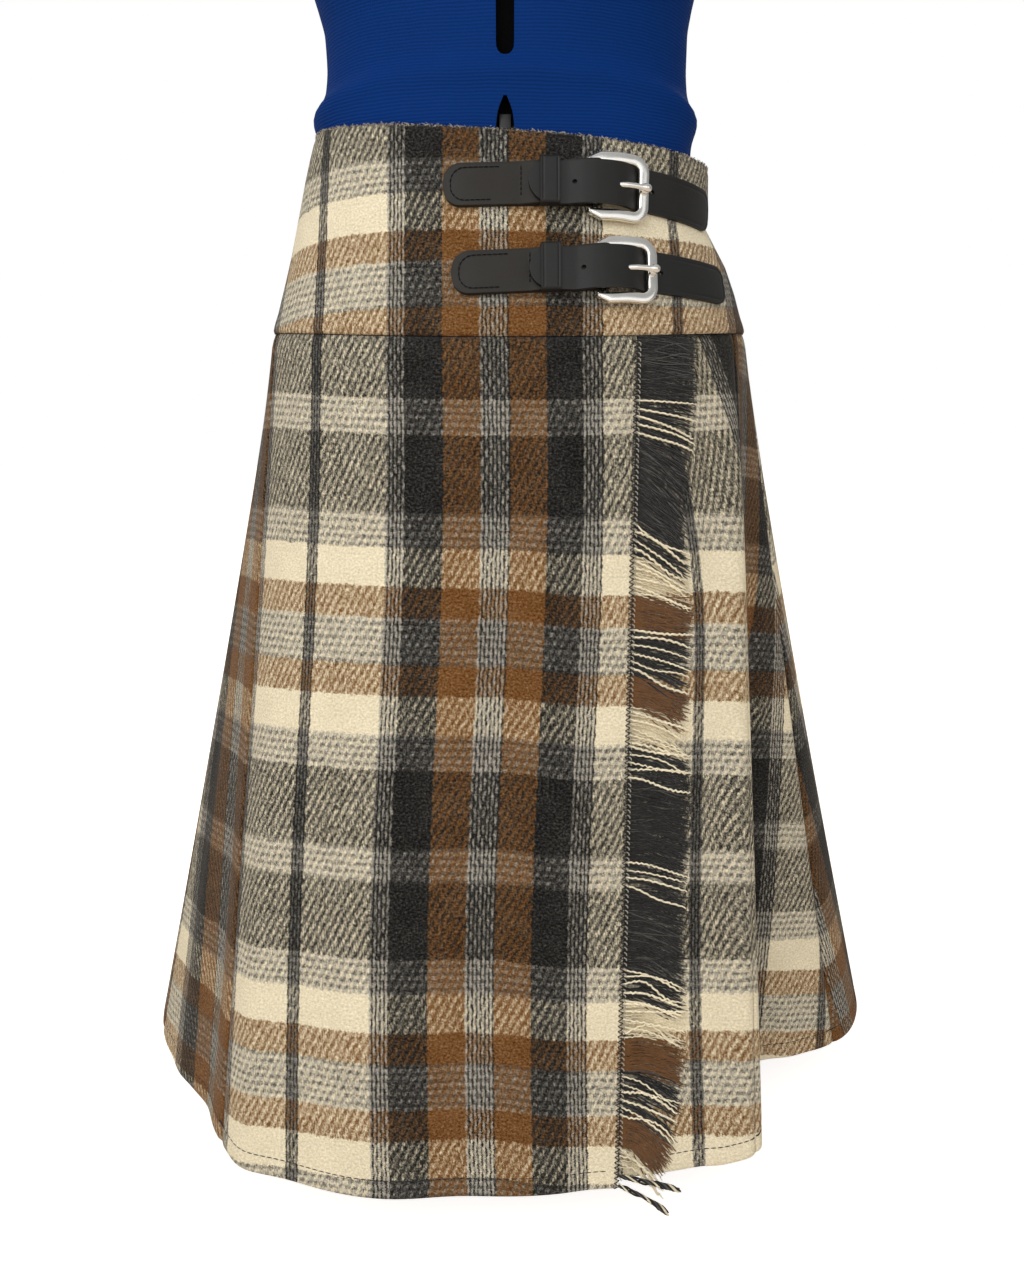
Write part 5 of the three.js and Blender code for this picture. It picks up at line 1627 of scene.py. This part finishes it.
class SKIRT_OT_form(bpy.types.Operator):
    """Makes the knit-covered form with the gap down its front, and its adjuster"""

    bl_idname = "skirt.form"
    bl_label = "Dress Form"

    def execute(self, context):
        form = context.scene.skirt_form
        knit = made("ribbed_knit", ribbed_knit, form)
        table = np.array(FORM_SECTIONS, float)
        tall = FORM_NECK - FORM_FOOT

        def place(across, down):
            height = FORM_NECK - down * tall
            points = np.empty((len(height), 3))
            for level in np.unique(np.round(height, 4)):
                rows = np.abs(height - level) < 1e-3
                measures = [self.between(table[:, 0], column, level) for column in table.T[1:]]
                line = section_outline([level] + measures)
                points[rows] = line.at(across[rows] * line.girth)
            crest = WAIST_BAND - 14.0 * (np.abs(points[:, 0]) / 120.0) ** 4
            swell = 3.6 * np.exp(-((height - crest) / np.where(height > crest, 4.6, 9.5)) ** 2)
            outward = points[:, :2] / np.linalg.norm(points[:, :2], axis=1, keepdims=True)
            points[:, :2] += outward * swell[:, None]
            return points

        def cut(across, down):
            return np.column_stack([across * FORM_GIRTH, down * tall])

        body = closed_up(grid("form_body", 160, 240, place, cut, knit))
        for start, end in SLOTS:
            self.cut_slot(body, start, end)
        body.data.set_sharp_from_angle(angle=math.radians(40))
        keep(body, "form_cover", "torso")

        self.adjuster()
        return {"FINISHED"}

    def between(self, heights, values, level):
        """A smooth line through the sections: each step eased by its neighbours' slopes."""
        i = int(np.clip(np.searchsorted(heights, level) - 1, 0, len(heights) - 2))
        h = heights[i + 1] - heights[i]
        t = (level - heights[i]) / h
        step = (values[i + 1] - values[i]) / h

        def slope(k):
            if k <= 0 or k >= len(heights) - 1:
                return step
            a = (values[k] - values[k - 1]) / (heights[k] - heights[k - 1])
            b = (values[k + 1] - values[k]) / (heights[k + 1] - heights[k])
            return 0.0 if a * b <= 0 else 2 * a * b / (a + b)

        m0, m1 = slope(i) * h, slope(i + 1) * h
        return ((2 * t ** 3 - 3 * t ** 2 + 1) * values[i] + (t ** 3 - 2 * t ** 2 + t) * m0
                + (3 * t ** 2 - 2 * t ** 3) * values[i + 1] + (t ** 3 - t ** 2) * m1)

    def cut_slot(self, body, start, end):
        """Cuts one tapered stretch of the gap."""
        mesh = bpy.data.meshes.new("slot")
        blunt = start > WAIST_BAND
        with shaping(mesh) as bm:
            bmesh.ops.create_cube(bm, size=1.0)
            upright = [e for e in bm.edges if abs(e.verts[0].co.z - e.verts[1].co.z) > 0.5]
            bmesh.ops.subdivide_edges(bm, edges=upright, cuts=40, use_grid_fill=True)
            for v in bm.verts:
                height = start + (1 - math.cos(math.pi * (v.co.z + 0.5))) / 2 * (end - start)
                edge = min(height - start, end - height)
                half = np.interp(edge, [0, SLOT_TAPER * 0.5, SLOT_TAPER],
                                 [0.9, SLOT_WIDTH * 0.38, SLOT_WIDTH / 2])
                if blunt and height < start + 30:
                    bow = math.sqrt(1 - (1 - min(edge / 6.0, 1)) ** 2)
                    half = 0.6 + (SLOT_WIDTH / 2 - 0.6) * bow
                front = -form_front(height)
                v.co = Vector((SLOT_MIDDLE + (half if v.co.x > 0 else -half),
                               front + SLOT_DEPTH if v.co.y > 0 else front - 20, height)) * MM
            bmesh.ops.recalc_face_normals(bm, faces=bm.faces)
        # The slot's cut walls take a near-black wool: a painted shade standing for the dark, unlit
        # hollow behind the gap.
        mesh.materials.append(made("slot_dark", yarn_wool, (0.0015, 0.0015, 0.002), 0.1, 0.0))
        cut_out(body, [placed("slot", mesh)], "TRANSFER")

    def adjuster(self):
        """The small bracket in the gap at the waist."""
        mesh = bpy.data.meshes.new("adjuster_bracket")
        low, high = BRACKET
        with shaping(mesh) as bm:
            bmesh.ops.create_cube(bm, size=1.0)
            for v in bm.verts:
                height = low if v.co.z < 0 else high
                face = SLOT_DEPTH - form_front(height) - 0.3
                v.co = Vector((SLOT_MIDDLE + v.co.x * 7.0, face - (4.0 if v.co.y < 0 else 0.0),
                               height)) * MM
            front = min(bm.faces, key=lambda f: f.calc_center_median().y)
            bmesh.ops.inset_region(bm, faces=[front], thickness=1.6 * MM, depth=0.0)
            bmesh.ops.translate(bm, verts=list(front.verts), vec=(0, 1.6 * MM, 0))
            bmesh.ops.bevel(bm, geom=list(bm.edges), offset=0.4 * MM, affect="EDGES", segments=2,
                            profile=0.5, material=-1)
            bmesh.ops.recalc_face_normals(bm, faces=bm.faces)
        piece = new_object("adjuster_bracket", mesh, black_plastic())
        mesh.set_sharp_from_angle(angle=math.radians(50))
        keep(piece, "form_plastic", "adjuster")


# radius and height, the cap's from its own foot
CAP_PROFILE = ((0, 0), (48, 0), (49.4, 0.6), (50, 2), (50, 5), (49.2, 6.5), (47, 7), (12, 9),
               (11, 13), (12.5, 16), (16, 18.5), (17, 21), (16.5, 24.5), (14, 27), (9, 28.6),
               (0, 29))
POLE_PROFILE = ((0, 6.3), (12.5, 6.3), (12.5, 414.7), (0, 414.7))
BASE_PROFILE = ((0, 0), (148.5, 0), (149.6, 0.5), (150, 1.5), (150, 4.5), (149.6, 5.5), (148.5, 6),
                (26, 6), (24, 7.5), (21.2, 31), (20.4, 33.2), (19, 34), (12.8, 34), (12.8, 6),
                (0, 6))


class SKIRT_OT_stand(bpy.types.Operator):
    """Makes the neck cap, the pole and the round base"""

    bl_idname = "skirt.stand"
    bl_label = "Stand"

    def execute(self, context):
        steel = made("black_steel", moulded, (0.016, 0.016, 0.017), 0.4, 0.05)
        cap = FORM_NECK + 0.3
        profile = [(radius, cap + rise) for radius, rise in CAP_PROFILE]
        keep(turned("neck_cap_turned", profile, black_plastic()), "form_plastic", "neck_cap")
        keep(turned("pole_tube", POLE_PROFILE, steel, 48), "stand_steel", "pole")
        keep(turned("base_plate", BASE_PROFILE, steel, 120), "stand_steel", "base")
        return {"FINISHED"}


CAMERA_AT = (0.005, -0.745, 0.495)
# each light's size, place and aim
LIGHTS = {"key": (1.3, (-0.8, -1.3, 1.65), (0, 0, 0.45)),
          "fill": (2.0, (0.25, -2.1, 1.2), (0, 0, 0.4)),
          "side": (1.3, (1.45, -1.35, 1.0), (0, 0, 0.5)),
          "back": (1.6, (0.3, 1.8, 1.8), (0, 0, 0.5))}


class SKIRT_OT_stage(bpy.types.Operator):
    """Sets up the camera, the soft light and the pale floor"""

    bl_idname = "skirt.stage"
    bl_label = "Stage"

    def execute(self, context):
        stage = context.scene.skirt_stage
        scene = context.scene
        camera = placed("camera", bpy.data.cameras.new("camera"))
        camera.location = CAMERA_AT
        camera.rotation_euler = (math.pi / 2 - stage.tilt, 0, 0)
        camera.data.lens = stage.lens
        camera.data.sensor_width = 36.0
        camera.data.clip_start = 0.01
        scene.camera = camera

        mesh = bpy.data.meshes.new("floor")
        with shaping(mesh) as bm:
            bmesh.ops.create_grid(bm, x_segments=1, y_segments=1, size=6.0)
        floor = new_object("floor", mesh, made("pale_floor", pale_stage, tuple(stage.floor)))

        powers = {"key": stage.key, "fill": stage.fill,
                  "side": stage.fill * 0.35, "back": stage.fill * 0.8}
        for name, (size, spot, aim) in LIGHTS.items():
            light = bpy.data.lights.new(f"{name}_light", "AREA")
            light.energy = powers[name]
            light.size = size
            lamp = placed(f"{name}_light", light)
            lamp.location = spot
            lamp.rotation_euler = (Vector(aim) - Vector(spot)).to_track_quat("-Z", "Y").to_euler()
        scene.world = self.soft_room(stage)
        scene.view_settings.view_transform = "Standard"
        return {"FINISHED"}

    def soft_room(self, stage):
        """Light from all round, dimmer on the right, behind a white backdrop."""
        world = bpy.data.worlds.new("soft_room")
        world.use_nodes = True
        nodes, links = world.node_tree.nodes, world.node_tree.links
        room, backdrop = nodes["Background"], nodes.new("ShaderNodeBackground")
        for shader, strength in ((room, stage.ambient), (backdrop, 1.0)):
            shader.inputs[0].default_value = (1.0, 1.0, 1.0, 1)
            shader.inputs[1].default_value = strength
        way, side = nodes.new("ShaderNodeTexCoord"), nodes.new("ShaderNodeSeparateXYZ")
        dim = nodes.new("ShaderNodeMapRange")
        dim.inputs["To Min"].default_value = stage.ambient
        dim.inputs["To Max"].default_value = stage.ambient * 0.45
        links.new(way.outputs["Generated"], side.inputs[0])
        links.new(side.outputs[0], dim.inputs["Value"])
        links.new(dim.outputs[0], room.inputs[1])
        seen, blend = nodes.new("ShaderNodeLightPath"), nodes.new("ShaderNodeMixShader")
        links.new(seen.outputs["Is Camera Ray"], blend.inputs[0])
        links.new(room.outputs[0], blend.inputs[1])
        links.new(backdrop.outputs[0], blend.inputs[2])
        links.new(blend.outputs[0], nodes["World Output"].inputs[0])
        return world


OPERATORS = (SKIRT_OT_stage, SKIRT_OT_yoke, SKIRT_OT_panels, SKIRT_OT_fringe, SKIRT_OT_stitches,
             SKIRT_OT_straps, SKIRT_OT_buckles, SKIRT_OT_form, SKIRT_OT_stand)


class SKIRT_PT_pieces(bpy.types.Panel):
    """Lists the skirt's pieces and settings."""

    bl_idname = "SKIRT_PT_pieces"
    bl_label = "Checked Skirt"
    bl_space_type = "VIEW_3D"
    bl_region_type = "UI"
    bl_category = "Skirt"

    def draw(self, context):
        layout = self.layout
        for name, group in SETTINGS.items():
            box = layout.box()
            box.label(text=group.__doc__)
            for key in group.__annotations__:
                box.prop(getattr(context.scene, name), key)
        for operator in OPERATORS:
            layout.operator(operator.bl_idname)


def register():
    for name, group in SETTINGS.items():
        bpy.utils.register_class(group)
        setattr(bpy.types.Scene, name, bpy.props.PointerProperty(type=group))
    for operator in OPERATORS:
        bpy.utils.register_class(operator)
    bpy.utils.register_class(SKIRT_PT_pieces)


def unregister():
    bpy.utils.unregister_class(SKIRT_PT_pieces)
    for operator in reversed(OPERATORS):
        bpy.utils.unregister_class(operator)
    for name, group in SETTINGS.items():
        delattr(bpy.types.Scene, name)
        bpy.utils.unregister_class(group)


def main():
    """Makes every piece."""
    register()
    for operator in OPERATORS:
        group, name = operator.bl_idname.split(".")
        getattr(getattr(bpy.ops, group), name)()


if __name__ == "__main__":
    main()
